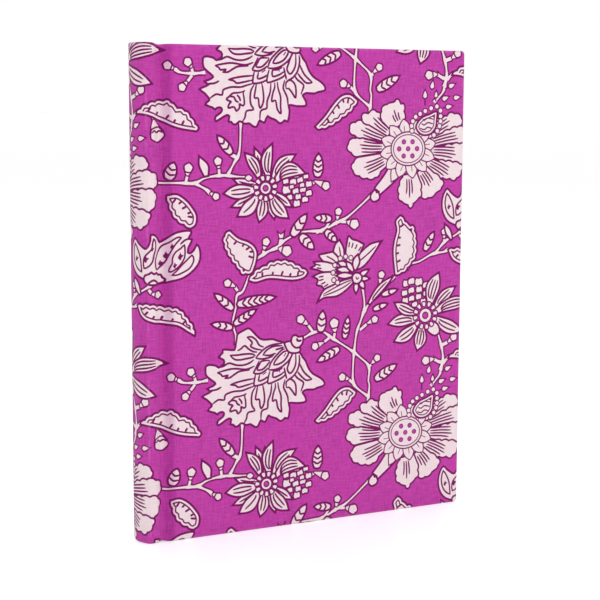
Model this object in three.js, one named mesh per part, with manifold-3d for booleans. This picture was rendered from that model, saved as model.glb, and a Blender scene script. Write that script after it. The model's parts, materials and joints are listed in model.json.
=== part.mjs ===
// Cloth-bound notebook: a sewn block of seven sections in a case of two boards and a rounded spine.
// Millimetres, +Z up. The book stands on its tail, spine at -X, front cover towards -Y.
// The origin is the middle of the footprint, on the surface that the book stands on.
// Plan points are [x, depth], where depth is the distance from the mid-plane of the book.

import * as THREE from 'three';
import { mergeVertices } from 'three/addons/utils/BufferGeometryUtils.js';
import Module from 'manifold-3d';

const wasm = await Module();
wasm.setup();

// Case
const caseWidth = 152;
const caseHeight = 202.5;
const spineHeadRise = 0.5;
const boardThickness = 2.0;
const boardCornerRadius = 1.2;
const clothThickness = 0.4;
const turnInDepth = 15;
const glueLine = 0.02;
const pastedownThickness = 0.2;
const squareOverhang = 3.0;

// Rounded spine and the joint grooves beside it
const spineRound = 3.1;
const spineCornerRadius = 2.2;
const stiffenerThickness = 0.8;
const stiffenerLand = 2.4;
const grooveCentre = 5.7;
const grooveHalfWidth = 2.8;
const grooveDepth = 1.6;
const boardToGrooveEdge = 0.3;

// Sewn block
const sectionCount = 7;
const leavesPerSection = 8;
const leafThickness = 0.156;
const leafAir = 0.02;
const flyleafThickness = 0.2;
const foldPitch = 1.85;
const foldStraight = 1.8;
const hairpinLength = 1.7;
const spineGap = 2.83;
const gutterWeb = 2.6;
const pastedownEdge = 3.2;

// Sewing and what holds the back together
const threadRadius = 0.18;
const threadHoleClearance = 0.08;
const threadTail = 3;
const kettleInset = 12;
const tapeCount = 3;
const tapeWidth = 10;
const tapeThickness = 0.2;
const tapeHoleSetback = 0.5;
const tapeSlipReach = 18;
const mullThickness = 0.16;
const mullFlangeReach = 20;
const mullInset = 17;
const liningThickness = 0.2;
const liningInset = 12;
const bandBeadRadius = 0.8;
const bandTongue = 8;

// Opening
const jointCut = 0.03;
const leafTurns = [80, 60, 38, 17];

// Heights of the layers, counted from the outer face of a board
const sectionThickness = leavesPerSection * leafThickness + (leavesPerSection - 1) * leafAir;
const sectionPitch = sectionThickness + leafAir;
const halfBlock = (sectionCount * sectionPitch) / 2;
const boardOuter = clothThickness + glueLine;
const boardInner = boardOuter + boardThickness;
const turnInOuter = boardInner + glueLine;
const turnInInner = turnInOuter + clothThickness;
const pastedownOuter = turnInInner + glueLine;
const pastedownInner = pastedownOuter + pastedownThickness;
const flyleafOuter = pastedownInner + glueLine;
const flyleafInner = flyleafOuter + flyleafThickness;
const halfThickness = halfBlock + flyleafInner + glueLine;

// Places along the width
const spineX = -caseWidth / 2;
const foreX = caseWidth / 2;
const cornerX = spineX + spineRound;
const gutterX = cornerX + grooveCentre;
const boardSpineX = gutterX + grooveHalfWidth + boardToGrooveEdge;
const boardForeX = foreX - boardOuter;
const pageForeX = foreX - squareOverhang;
const spineArcRadius = (halfThickness ** 2 + spineRound ** 2) / (2 * spineRound);
const arcX = spineX + spineArcRadius;
const foldArcRadius = spineArcRadius - spineGap;
const foldStep = foldPitch / foldArcRadius;
const outerFoldAngle = foldStep * (sectionCount - 1) / 2;
const bandAngle = outerFoldAngle + 0.06;

// Places along the height
const spineHeight = caseHeight + spineHeadRise;
const pageLow = squareOverhang;
const pageHigh = caseHeight - squareOverhang;
const kettleLow = pageLow + kettleInset;
const kettleHigh = pageHigh - kettleInset;
const tapeHeights = Array.from(
  { length: tapeCount },
  (_, i) => kettleLow + (kettleHigh - kettleLow) * (i + 1) / (tapeCount + 1),
);

const FRONT = -1;
const BACK = 1;
const SIDES = [[FRONT, 'front'], [BACK, 'back']];

// Materials
const finish = (color, roughness) => new THREE.MeshStandardMaterial({ color, roughness, metalness: 0 });
const cloth = finish(0xc23aa6, 0.85);
const greyBoard = finish(0xa3937b, 0.95);
const spineCard = finish(0xb8a98f, 0.95);
const paper = finish(0xf4eddd, 0.9);
const endpaper = finish(0xf6f0e4, 0.85);
const gauze = finish(0xe6dfcf, 0.95);
const tapeCotton = finish(0xf0eadb, 0.9);
const linen = finish(0xf5f1e6, 0.8);
const bandSilk = finish(0xd24fb4, 0.6);

const book = new THREE.Group();

function add(name, geometry, material) {
  const mesh = new THREE.Mesh(geometry, material);
  mesh.name = name;
  book.add(mesh);
}

// A closed mesh becomes a solid that can be joined and cut.
function solid(geometry) {
  const bare = geometry.clone();
  bare.deleteAttribute('normal');
  bare.deleteAttribute('uv');
  const merged = mergeVertices(bare, 1e-5);
  return new wasm.Manifold(new wasm.Mesh({
    numProp: 3,
    vertProperties: new Float32Array(merged.attributes.position.array),
    triVerts: new Uint32Array(merged.index.array),
  }));
}

function geometryOf(manifold) {
  const mesh = manifold.getMesh();
  const geometry = new THREE.BufferGeometry();
  geometry.setAttribute('position', new THREE.BufferAttribute(new Float32Array(mesh.vertProperties), 3));
  geometry.setIndex(Array.from(mesh.triVerts));
  return geometry;
}

const joined = (geometries) => geometries.map(solid).reduce((whole, piece) => whole.add(piece));

// A plan outline raised between two heights; side mirrors it to the front or the back.
function upright(outline, low, high, side = BACK) {
  const shape = new THREE.Shape(outline.map(([x, depth]) => new THREE.Vector2(x, side * depth)));
  const geometry = new THREE.ExtrudeGeometry(shape, { depth: high - low, bevelEnabled: false });
  return geometry.translate(0, 0, low);
}

// A board-like plate between two layer depths, seen square on as a rectangle in x and z.
function plate(x0, x1, z0, z1, outer, inner, side, cornerRadius = 0) {
  const shape = new THREE.Shape();
  shape.moveTo(x0, z0);
  shape.lineTo(x1 - cornerRadius, z0);
  if (cornerRadius > 0) shape.absarc(x1 - cornerRadius, z0 + cornerRadius, cornerRadius, -Math.PI / 2, 0);
  shape.lineTo(x1, z1 - cornerRadius);
  if (cornerRadius > 0) shape.absarc(x1 - cornerRadius, z1 - cornerRadius, cornerRadius, 0, Math.PI / 2);
  shape.lineTo(x0, z1);
  const settings = { depth: inner - outer, bevelEnabled: false, curveSegments: 4 };
  const geometry = new THREE.ExtrudeGeometry(shape, settings).rotateX(Math.PI / 2);
  const depths = [halfThickness - outer, halfThickness - inner];
  return geometry.translate(0, side === BACK ? depths[0] : -depths[1], 0);
}

// A path moved sideways to its left, with mitred corners.
function offsetPath(path, distance) {
  return path.map((point, i) => {
    const before = path[Math.max(i - 1, 0)];
    const after = path[Math.min(i + 1, path.length - 1)];
    const a = new THREE.Vector2(point[0] - before[0], point[1] - before[1]);
    const b = new THREE.Vector2(after[0] - point[0], after[1] - point[1]);
    const first = (a.lengthSq() > 0 ? a : b).clone().normalize();
    const second = (b.lengthSq() > 0 ? b : a).clone().normalize();
    const normal = new THREE.Vector2(-(first.y + second.y), first.x + second.x).normalize();
    const reach = distance / (normal.x * -first.y + normal.y * first.x);
    return [point[0] + normal.x * reach, point[1] + normal.y * reach];
  });
}

const strip = (path, from, to) => [...offsetPath(path, from), ...offsetPath(path, to).reverse()];
const onArc = (radius, angle) => [arcX - radius * Math.cos(angle), radius * Math.sin(angle)];
const fractions = (count) => Array.from({ length: count + 1 }, (_, i) => i / count);

// Depth of the cloth's outer face below the board level, across the joint groove.
function grooveDip(x) {
  const away = Math.min(Math.abs(x - gutterX) / grooveHalfWidth, 1);
  return grooveDepth * (1 + Math.cos(Math.PI * away)) / 2;
}

const grooveSteps = 7;
const groovePoint = (x, layer) => [x, halfThickness - grooveDip(x) - layer];
const towardsSpine = fractions(grooveSteps).map((f) => gutterX - jointCut - f * (grooveHalfWidth - jointCut));
const towardsBoard = fractions(grooveSteps).map((f) => gutterX + jointCut + f * (grooveHalfWidth - jointCut));

// Outer face of the spine cloth from one gutter round the back to the other.
function spineOuterPath() {
  const inset = spineArcRadius - spineCornerRadius;
  const filletDepth = halfThickness - spineCornerRadius;
  const filletAngle = Math.asin(filletDepth / inset);
  const filletX = arcX - inset * Math.cos(filletAngle);
  const half = towardsSpine.map((x) => groovePoint(x, 0));
  for (const f of fractions(4)) {
    const angle = Math.PI / 2 - f * (Math.PI / 2 - filletAngle);
    half.push([filletX - spineCornerRadius * Math.cos(angle), filletDepth + spineCornerRadius * Math.sin(angle)]);
  }
  for (const f of fractions(8).slice(1)) half.push(onArc(spineArcRadius, filletAngle * (1 - f)));
  const mirrored = half.slice(0, -1).map(([x, depth]) => [x, -depth]).reverse();
  return [...half, ...mirrored];
}

const spinePath = spineOuterPath();
const landX = cornerX + stiffenerLand;
const isUnderLand = ([x]) => x < landX - 0.2;

// The stretch of a spine layer that the stiffener covers, ended square at its lands.
function stiffenedPath(layer) {
  const body = offsetPath(spinePath, layer).filter(isUnderLand);
  const depth = halfThickness - layer;
  return [[landX, depth], ...body, [landX, -depth]];
}

function makeSpineCloth() {
  const under = clothThickness * 0.9;
  const turnInLayer = clothThickness + 2 * glueLine + stiffenerThickness;
  const grooveRun = towardsSpine.filter((x) => x > gutterX - grooveHalfWidth * 0.55);
  const wrap = (layer, stiffenedLayer) => {
    const head = grooveRun.map((x) => groovePoint(x, layer));
    const tail = head.map(([x, depth]) => [x, -depth]).reverse();
    return [...head, ...stiffenedPath(stiffenedLayer), ...tail];
  };
  const turnInFace = wrap(under, turnInLayer);
  const turnInBack = wrap(2 * clothThickness, turnInLayer + clothThickness).reverse();
  const turnIn = [...turnInFace, ...turnInBack];
  const cap = [...spinePath, ...turnInBack];
  return joined([
    upright(strip(spinePath, 0, clothThickness), 0, spineHeight),
    upright(turnIn, clothThickness / 2, turnInDepth),
    upright(turnIn, spineHeight - turnInDepth, spineHeight - clothThickness / 2),
    upright(cap, 0, clothThickness),
    upright(cap, spineHeight - clothThickness, spineHeight),
  ]);
}

function makeStiffener() {
  const outer = stiffenedPath(clothThickness + glueLine);
  const inner = stiffenedPath(clothThickness + glueLine + stiffenerThickness);
  const margin = clothThickness + glueLine;
  return upright([...outer, ...inner.reverse()], margin, spineHeight - margin);
}

function makeBoard(side) {
  const margin = boardOuter;
  return plate(boardSpineX, boardForeX, margin, caseHeight - margin, boardOuter, boardInner, side, boardCornerRadius);
}

// Cloth over the outer face, round the edges and turned in, with its half of the groove.
function makeBoardCloth(side) {
  const reach = 1;
  const clothCorner = boardCornerRadius + boardOuter;
  const wrapped = solid(plate(boardSpineX, foreX, 0, caseHeight, 0, turnInInner, side, clothCorner));
  const room = solid(plate(
    boardSpineX - reach, boardForeX + glueLine, clothThickness, caseHeight - clothThickness,
    clothThickness, turnInOuter, side, boardCornerRadius + glueLine,
  ));
  const open = solid(plate(
    boardSpineX - reach, foreX - turnInDepth, turnInDepth, caseHeight - turnInDepth,
    boardInner - reach, turnInInner + reach, side,
  ));
  const lapX = boardSpineX + reach;
  const outerRun = (layer) => [...towardsBoard.map((x) => groovePoint(x, layer)), [lapX, halfThickness - layer]];
  const innerRun = (grooveLayer, boardLayer) => {
    const dip = towardsBoard.filter((x) => x < gutterX + grooveHalfWidth * 0.35);
    const start = dip.map((x) => groovePoint(x, grooveLayer));
    return [...start, [boardSpineX, halfThickness - boardLayer], [lapX, halfThickness - boardLayer]];
  };
  const face = [...outerRun(0), ...outerRun(clothThickness).reverse()];
  const foldBack = innerRun(2 * clothThickness, turnInInner).reverse();
  const fold = [...innerRun(clothThickness * 0.9, turnInOuter), ...foldBack];
  const capRun = [...towardsBoard.map((x) => groovePoint(x, 0)), [boardSpineX, halfThickness]];
  const cap = [...capRun, [boardSpineX, halfThickness - turnInInner], ...foldBack.slice(2)];
  const groove = joined([
    upright(face, 0, caseHeight, side),
    upright(fold, clothThickness / 2, turnInDepth, side),
    upright(fold, caseHeight - turnInDepth, caseHeight - clothThickness / 2, side),
    upright(cap, 0, clothThickness, side),
    upright(cap, caseHeight - clothThickness, caseHeight, side),
  ]);
  return wrapped.subtract(room).subtract(open).add(groove);
}

// Layers across the joint at the gutter line, counted from the outer face of the boards
const jointClothInner = grooveDepth + clothThickness;
const jointMull = jointClothInner + glueLine;
const jointTape = jointMull + mullThickness + glueLine;
const jointPastedown = jointTape + tapeThickness + glueLine;

// A hinged strip: it leaves the groove level at the gutter and lies at the board level beyond it.
function coverStrip(grooveLayer, boardLayer, thickness, reach) {
  const run = (extra) => [
    [gutterX + jointCut, halfThickness - grooveLayer - extra],
    [boardSpineX, halfThickness - boardLayer - extra],
    [reach, halfThickness - boardLayer - extra],
  ];
  return [...run(0), ...run(thickness).reverse()];
}

// Endpaper half pasted on the board: its middle sinks between the turn-ins.
function makePastedown(side) {
  const edgeX = foreX - pastedownEdge;
  const low = pastedownEdge;
  const high = caseHeight - pastedownEdge;
  const sheet = coverStrip(jointPastedown, pastedownOuter, pastedownThickness, edgeX);
  const sunkX0 = boardSpineX + mullFlangeReach + 1;
  const sunkX1 = foreX - turnInDepth - glueLine;
  const sunkLow = turnInDepth + glueLine;
  const sunkHigh = caseHeight - sunkLow;
  const wall = pastedownThickness;
  const boss = plate(sunkX0, sunkX1, sunkLow, sunkHigh, turnInOuter, pastedownInner, side);
  const recess = plate(
    sunkX0 + wall, sunkX1 - wall, sunkLow + wall, sunkHigh - wall,
    turnInOuter + pastedownThickness, pastedownInner + 1, side,
  );
  return solid(upright(sheet, low, high, side)).add(solid(boss)).subtract(solid(recess));
}

// The folded edge of the endpaper, tipped to the outermost section.
function endpaperFold() {
  const x = gutterX - jointCut;
  const hair = gutterX - hairpinLength;
  const top = halfThickness - jointPastedown;
  const under = top - pastedownThickness;
  const low = halfThickness - flyleafInner;
  const over = low + flyleafThickness;
  const bend = (top - low) / 2;
  return [
    [x, top], [hair + bend, top], [hair + bend * 0.3, top - bend * 0.3], [hair, low + bend],
    [hair + bend * 0.3, low + bend * 0.3], [hair + bend, low], [x, low],
    [x, over], [hair + bend, over], [hair + bend - 0.03, low + bend], [hair + bend, under], [x, under],
  ];
}

// A strip round the back of the block: an arc with a flange at each joint.
function backStrip(radius, thickness, jointLayer, shoulderReach) {
  const depth = halfThickness - jointLayer - thickness / 2;
  const middle = radius + thickness / 2;
  const start = onArc(middle, bandAngle);
  const along = [Math.sin(bandAngle), Math.cos(bandAngle)];
  const bend = new THREE.CubicBezierCurve(
    new THREE.Vector2(gutterX - jointCut, depth),
    new THREE.Vector2(gutterX - foldStraight * 1.2, depth),
    new THREE.Vector2(start[0] + along[0] * shoulderReach, start[1] + along[1] * shoulderReach),
    new THREE.Vector2(...start),
  );
  const flange = bend.getPoints(6).map((point) => [point.x, point.y]);
  const arc = fractions(12).slice(1, -1).map((f) => onArc(middle, bandAngle * (1 - 2 * f)));
  const path = [...flange, ...arc, ...flange.map(([x, y]) => [x, -y]).reverse()];
  return strip(path, -thickness / 2, thickness / 2);
}

// Middle line of a section from the gutter to the centre of its rounded fold.
function sectionPath(index) {
  const depth = (index - (sectionCount - 1) / 2) * sectionPitch;
  const angle = (index - (sectionCount - 1) / 2) * foldStep;
  const end = onArc(foldArcRadius - sectionThickness / 2, angle);
  const bendX = gutterX - foldStraight;
  if (Math.abs(angle) < 1e-6) {
    return [[gutterX - jointCut, depth], [bendX, depth], [(bendX + end[0]) / 2, depth], [end[0], depth]];
  }
  const control = new THREE.Vector2(end[0] + (end[1] - depth) / Math.tan(angle), depth);
  const bend = new THREE.QuadraticBezierCurve(new THREE.Vector2(bendX, depth), control, new THREE.Vector2(...end));
  return [[gutterX - jointCut, depth], ...bend.getPoints(4).map((point) => [point.x, point.y])];
}

const holeRadius = threadRadius + threadHoleClearance;

// The folded back of a section: the leaves part towards the gutter, and the thread lies in the middle.
function sectionFoldOutline(index) {
  const path = sectionPath(index);
  const half = sectionThickness / 2;
  const last = path[path.length - 1];
  const angle = (index - (sectionCount - 1) / 2) * foldStep;
  const around = (radius, turn) => [
    last[0] - radius * Math.cos(angle + turn),
    last[1] + radius * Math.sin(angle + turn),
  ];
  const outline = offsetPath(path, half).reverse();
  for (let slit = 1; slit < leavesPerSection; slit += 1) {
    const edge = half - slit * (leafThickness + leafAir) + leafAir;
    const middle = slit === leavesPerSection / 2;
    const run = middle ? path : path.slice(0, -1);
    outline.push(...offsetPath(run, edge).slice(0, middle ? -1 : undefined));
    if (middle) {
      for (const f of fractions(7)) outline.push(around(holeRadius, -Math.PI + 0.2 + f * (2 * Math.PI - 0.4)));
    }
    outline.push(...offsetPath(run, edge - leafAir).slice(0, middle ? -1 : undefined).reverse());
  }
  outline.push(...offsetPath(path, -half));
  for (const f of fractions(6).slice(1, -1)) outline.push(around(half, Math.PI / 2 - f * Math.PI));
  return outline;
}

const stations = [
  kettleLow,
  ...tapeHeights.flatMap((z) => {
    const reach = tapeWidth / 2 + tapeHoleSetback;
    return [z - reach, z + reach];
  }),
  kettleHigh,
];

function makeSectionFold(index) {
  const angle = (index - (sectionCount - 1) / 2) * foldStep;
  const hole = new THREE.CylinderGeometry(holeRadius, holeRadius, sectionThickness, 6).rotateZ(Math.PI / 2);
  hole.translate(-(foldArcRadius + holeRadius / 2), 0, 0).rotateZ(-angle);
  let fold = solid(upright(sectionFoldOutline(index), pageLow, pageHigh));
  for (const z of stations) fold = fold.subtract(solid(hole.clone().translate(arcX, 0, z)));
  return fold;
}

// A round bar swept along a bent line that lies in one upright plane, mitred at its corners.
function bentBar(points, angle, radius, sides) {
  const radial = new THREE.Vector3(-Math.cos(angle), Math.sin(angle), 0);
  const up = new THREE.Vector3(0, 0, 1);
  const level = new THREE.Vector3().crossVectors(radial, up);
  const place = ([r, z]) => new THREE.Vector3(arcX, 0, z).addScaledVector(radial, r);
  const at = points.map(place);
  const positions = [];
  const index = [];
  at.forEach((point, i) => {
    const before = at[Math.max(i - 1, 0)];
    const after = at[Math.min(i + 1, at.length - 1)];
    const a = point.clone().sub(before);
    const b = after.clone().sub(point);
    const first = (a.lengthSq() > 0 ? a : b).clone().normalize();
    const second = (b.lengthSq() > 0 ? b : a).clone().normalize();
    const normal = new THREE.Vector3().crossVectors(level, first.clone().add(second)).normalize();
    const mitre = 1 / normal.dot(new THREE.Vector3().crossVectors(level, first));
    for (let s = 0; s < sides; s += 1) {
      const turn = (2 * Math.PI * s) / sides;
      const spot = point.clone()
        .addScaledVector(level, radius * Math.cos(turn))
        .addScaledVector(normal, radius * Math.sin(turn) * mitre);
      positions.push(spot.x, spot.y, spot.z);
    }
  });
  for (let i = 0; i < at.length - 1; i += 1) {
    for (let s = 0; s < sides; s += 1) {
      const a = i * sides + s;
      const b = i * sides + (s + 1) % sides;
      index.push(a, a + sides, b, b, a + sides, b + sides);
    }
  }
  const far = (at.length - 1) * sides;
  for (let s = 1; s < sides - 1; s += 1) index.push(0, s, s + 1, far, far + s + 1, far + s);
  const geometry = new THREE.BufferGeometry();
  geometry.setAttribute('position', new THREE.Float32BufferAttribute(positions, 3));
  geometry.setIndex(index);
  return geometry;
}

// The thread runs inside its section, comes out over each tape and is caught down at both ends.
function makeThread(index) {
  const angle = (index - (sectionCount - 1) / 2) * foldStep;
  const inside = foldArcRadius - sectionThickness / 2;
  const onFold = foldArcRadius + glueLine + threadRadius;
  const overTape = onFold + tapeThickness + glueLine;
  const points = [[onFold, kettleLow - threadTail], [onFold, kettleLow], [inside, kettleLow]];
  for (const z of tapeHeights) {
    const reach = tapeWidth / 2 + tapeHoleSetback;
    points.push([inside, z - reach], [overTape, z - reach], [overTape, z + reach], [inside, z + reach]);
  }
  points.push([inside, kettleHigh], [onFold, kettleHigh], [onFold, kettleHigh + threadTail]);
  return bentBar(points, angle, threadRadius, 6);
}

// Leaves from the gutter to the fore-edge, held together at the gutter by a narrow glued web.
function leavesOutline(count, nearDepth, taper) {
  const step = leafThickness + leafAir;
  const thickness = count * leafThickness + (count - 1) * leafAir;
  const hollow = foldArcRadius * (1 - Math.cos(outerFoldAngle));
  const endAt = (depth) => pageForeX - hollow * (1 - (depth / halfBlock) ** 2);
  const x0 = gutterX + jointCut;
  const webX = gutterX + gutterWeb;
  const far = nearDepth;
  const near = nearDepth - thickness;
  const outline = [[x0, far]];
  for (let leaf = 0; leaf < count; leaf += 1) {
    const top = far - leaf * step;
    const bottom = top - leafThickness;
    outline.push([endAt(top), top], [endAt(bottom), bottom]);
    if (leaf < count - 1) outline.push([webX, bottom], [webX, bottom - leafAir]);
  }
  if (taper.depth > 0) outline.push([x0 + taper.length, near], [x0, near + taper.depth]);
  else outline.push([x0, near]);
  return outline;
}

// How much the gutter corner of a leaf group gives way to the next group, which turns less.
function gutterTaper(turn, nextTurn, thickness) {
  const rad = THREE.MathUtils.degToRad;
  const margin = 1.25;
  const depth = thickness * (Math.cos(rad(turn - nextTurn)) - Math.cos(rad(nextTurn)));
  if (depth <= 0) return { depth: 0, length: 0 };
  return { depth: depth * margin, length: margin * depth / Math.sin(rad(turn - nextTurn)) };
}

// A cross-section of [radius, height] points carried round the back of the block.
function aroundBack(section, steps) {
  const positions = [];
  const index = [];
  const count = section.length;
  for (const f of fractions(steps)) {
    for (const [radius, z] of section) {
      const [x, y] = onArc(radius, bandAngle * (2 * f - 1));
      positions.push(x, y, z);
    }
  }
  for (let i = 0; i < steps; i += 1) {
    for (let s = 0; s < count; s += 1) {
      const a = i * count + s;
      const b = i * count + (s + 1) % count;
      index.push(a, b, a + count, b, b + count, a + count);
    }
  }
  const flat = section.map(([radius, z]) => new THREE.Vector2(radius, z));
  for (const [a, b, c] of THREE.ShapeUtils.triangulateShape(flat, [])) {
    const last = steps * count;
    index.push(c, b, a, last + a, last + b, last + c);
  }
  const geometry = new THREE.BufferGeometry();
  geometry.setAttribute('position', new THREE.Float32BufferAttribute(positions, 3));
  geometry.setIndex(index);
  return geometry;
}

// Worked band at the head or tail: a bead over the folds and a tongue glued down the back.
function makeBand(edge, up) {
  const tongueInner = foldArcRadius + glueLine;
  const tongueOuter = tongueInner + tapeThickness;
  const beadR = foldArcRadius - bandBeadRadius * 0.6;
  const beadZ = bandBeadRadius + glueLine;
  const from = -Math.acos((tongueOuter - beadR) / bandBeadRadius);
  const to = 2 * Math.PI - Math.acos((tongueInner - beadR) / bandBeadRadius);
  const section = [[tongueInner, -bandTongue], [tongueOuter, -bandTongue]];
  for (const f of fractions(9)) {
    const turn = from + f * (to - from);
    section.push([beadR + bandBeadRadius * Math.cos(turn), beadZ + bandBeadRadius * Math.sin(turn)]);
  }
  const placed = section.map(([radius, z]) => [radius, edge + up * z]);
  return aroundBack(up > 0 ? placed : placed.reverse(), 14);
}

// Case
for (const [side, name] of SIDES) {
  add(`${name}_board`, makeBoard(side), greyBoard);
  add(`${name}_board_cloth`, geometryOf(makeBoardCloth(side)), cloth);
  add(`${name}_pastedown`, geometryOf(makePastedown(side)), endpaper);
  const flange = coverStrip(jointMull, turnInOuter, mullThickness, boardSpineX + mullFlangeReach);
  add(`${name}_mull_flange`, upright(flange, mullInset, caseHeight - mullInset, side), gauze);
  const slipLayer = turnInOuter + mullThickness + glueLine;
  const slip = coverStrip(jointTape, slipLayer, tapeThickness, boardSpineX + tapeSlipReach);
  tapeHeights.forEach((z, i) => {
    add(`${name}_tape_slip_${i + 1}`, upright(slip, z - tapeWidth / 2, z + tapeWidth / 2, side), tapeCotton);
  });
  add(`${name}_endpaper_fold`, upright(endpaperFold(), pageLow, pageHigh, side), endpaper);
  const sheet = [
    [gutterX + jointCut, halfThickness - flyleafOuter], [pageForeX, halfThickness - flyleafOuter],
    [pageForeX, halfThickness - flyleafInner], [gutterX + jointCut, halfThickness - flyleafInner],
  ];
  add(`${name}_flyleaf`, upright(sheet, pageLow, pageHigh, side), endpaper);
}
add('spine_cloth', geometryOf(makeSpineCloth()), cloth);
add('spine_stiffener', makeStiffener(), spineCard);

// Back of the block
const tapeRadius = foldArcRadius + glueLine;
tapeHeights.forEach((z, i) => {
  const tape = backStrip(tapeRadius, tapeThickness, jointTape, 0.5);
  add(`tape_${i + 1}`, upright(tape, z - tapeWidth / 2, z + tapeWidth / 2), tapeCotton);
});
const mullRadius = tapeRadius + tapeThickness + 2 * threadRadius + 2 * glueLine;
add('mull', upright(backStrip(mullRadius, mullThickness, jointMull, 0.25), mullInset, caseHeight - mullInset), gauze);
const liningRadius = mullRadius + mullThickness + glueLine;
const liningPath = fractions(14).map((f) => onArc(liningRadius, bandAngle * (1 - 2 * f)));
const lining = upright(strip(liningPath, -liningThickness, 0), pageLow + liningInset, pageHigh - liningInset);
add('spine_lining', lining, paper);
add('headband', makeBand(pageHigh, 1), bandSilk);
add('tailband', makeBand(pageLow, -1), bandSilk);

// Sewn block
for (let k = 0; k < sectionCount; k += 1) {
  add(`section_${k + 1}_fold`, geometryOf(makeSectionFold(k)), paper);
  add(`sewing_thread_${k + 1}`, makeThread(k), linen);
}
const turningSections = (sectionCount - 1) / 2;
for (const [side, name] of SIDES) {
  for (let k = 0; k < turningSections; k += 1) {
    const number = side === FRONT ? k + 1 : sectionCount - k;
    const depth = halfBlock - leafAir / 2 - k * sectionPitch;
    const taper = gutterTaper(leafTurns[k], leafTurns[k + 1], sectionThickness);
    const outline = leavesOutline(leavesPerSection, depth, taper);
    add(`section_${number}_leaves`, upright(outline, pageLow, pageHigh, side), paper);
  }
  const halfCount = leavesPerSection / 2;
  const middle = leavesOutline(halfCount, sectionThickness / 2, { depth: 0, length: 0 });
  const number = turningSections + 1;
  add(`section_${number}_${name}_leaves`, upright(middle, pageLow, pageHigh, side), paper);
}

export default book;
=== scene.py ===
"""Looks of a cloth-bound notebook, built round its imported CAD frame.

The case cloth is one block-printed cotton, laid round the boards as a real cover is cut and
turned in. The print is a traditional trailing floral, drawn here from curves and repeated
over the whole cloth. Sizes are in millimetres until a mesh is made.
"""

import json
import logging
import math
from dataclasses import dataclass, field
from enum import Enum

import bmesh
import bpy
import numpy as np
from mathutils import Matrix, Vector
from mathutils import geometry as shapes2d

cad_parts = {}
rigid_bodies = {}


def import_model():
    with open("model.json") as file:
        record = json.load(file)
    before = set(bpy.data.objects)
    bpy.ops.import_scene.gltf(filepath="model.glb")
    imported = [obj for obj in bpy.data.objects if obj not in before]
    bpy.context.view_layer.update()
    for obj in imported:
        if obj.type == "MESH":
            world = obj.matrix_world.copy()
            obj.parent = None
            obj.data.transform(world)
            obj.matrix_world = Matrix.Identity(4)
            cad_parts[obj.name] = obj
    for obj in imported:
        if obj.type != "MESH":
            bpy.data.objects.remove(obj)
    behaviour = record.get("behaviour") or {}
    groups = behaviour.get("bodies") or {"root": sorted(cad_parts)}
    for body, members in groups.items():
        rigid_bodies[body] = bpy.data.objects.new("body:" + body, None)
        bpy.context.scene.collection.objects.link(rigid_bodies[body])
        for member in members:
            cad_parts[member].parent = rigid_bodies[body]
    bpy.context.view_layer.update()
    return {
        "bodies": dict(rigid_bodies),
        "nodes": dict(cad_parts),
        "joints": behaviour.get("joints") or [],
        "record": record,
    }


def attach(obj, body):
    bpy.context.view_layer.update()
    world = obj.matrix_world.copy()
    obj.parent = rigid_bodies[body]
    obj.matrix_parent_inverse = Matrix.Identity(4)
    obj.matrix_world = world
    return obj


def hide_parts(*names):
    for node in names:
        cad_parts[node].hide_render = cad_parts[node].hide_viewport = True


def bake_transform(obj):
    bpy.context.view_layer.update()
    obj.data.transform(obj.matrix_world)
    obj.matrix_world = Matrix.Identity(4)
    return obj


LOG = logging.getLogger("notebook")
MM = 0.001
TINY = 1e-9
NEAR = 1e-6
MITRE_LEAST = 0.45
CLEAR_SHARE = 0.9
STEPS_PER_LOBE = 5
TAPER_POWER = 6
FLAT_X = (-60.0, -40.0, 0.0, 40.0)
WHITE = (1.0, 1.0, 1.0, 1.0)
SHARP_PAPER, SHARP_SHEET, SHARP_CLOTH = 30, 40, 50
CUT_MERGE = 1e-4
UV_SCALE = 4
WINDING_BATCH = 4000
Point = tuple[float, float]
Outline = np.ndarray


class Side(Enum):
    """The two covers: the sign is the direction of Y that a cover faces."""

    FRONT = -1
    BACK = 1

    @property
    def word(self) -> str:
        """The side's name in CAD nodes and bodies."""
        return self.name.lower()


class Ink(Enum):
    """What lies on the cloth at a place: the dyed ground, a resist-white fill or a dark line."""

    GROUND = 0
    CREAM = 1
    DARK = 2


Shape = tuple[Outline, Ink]


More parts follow.
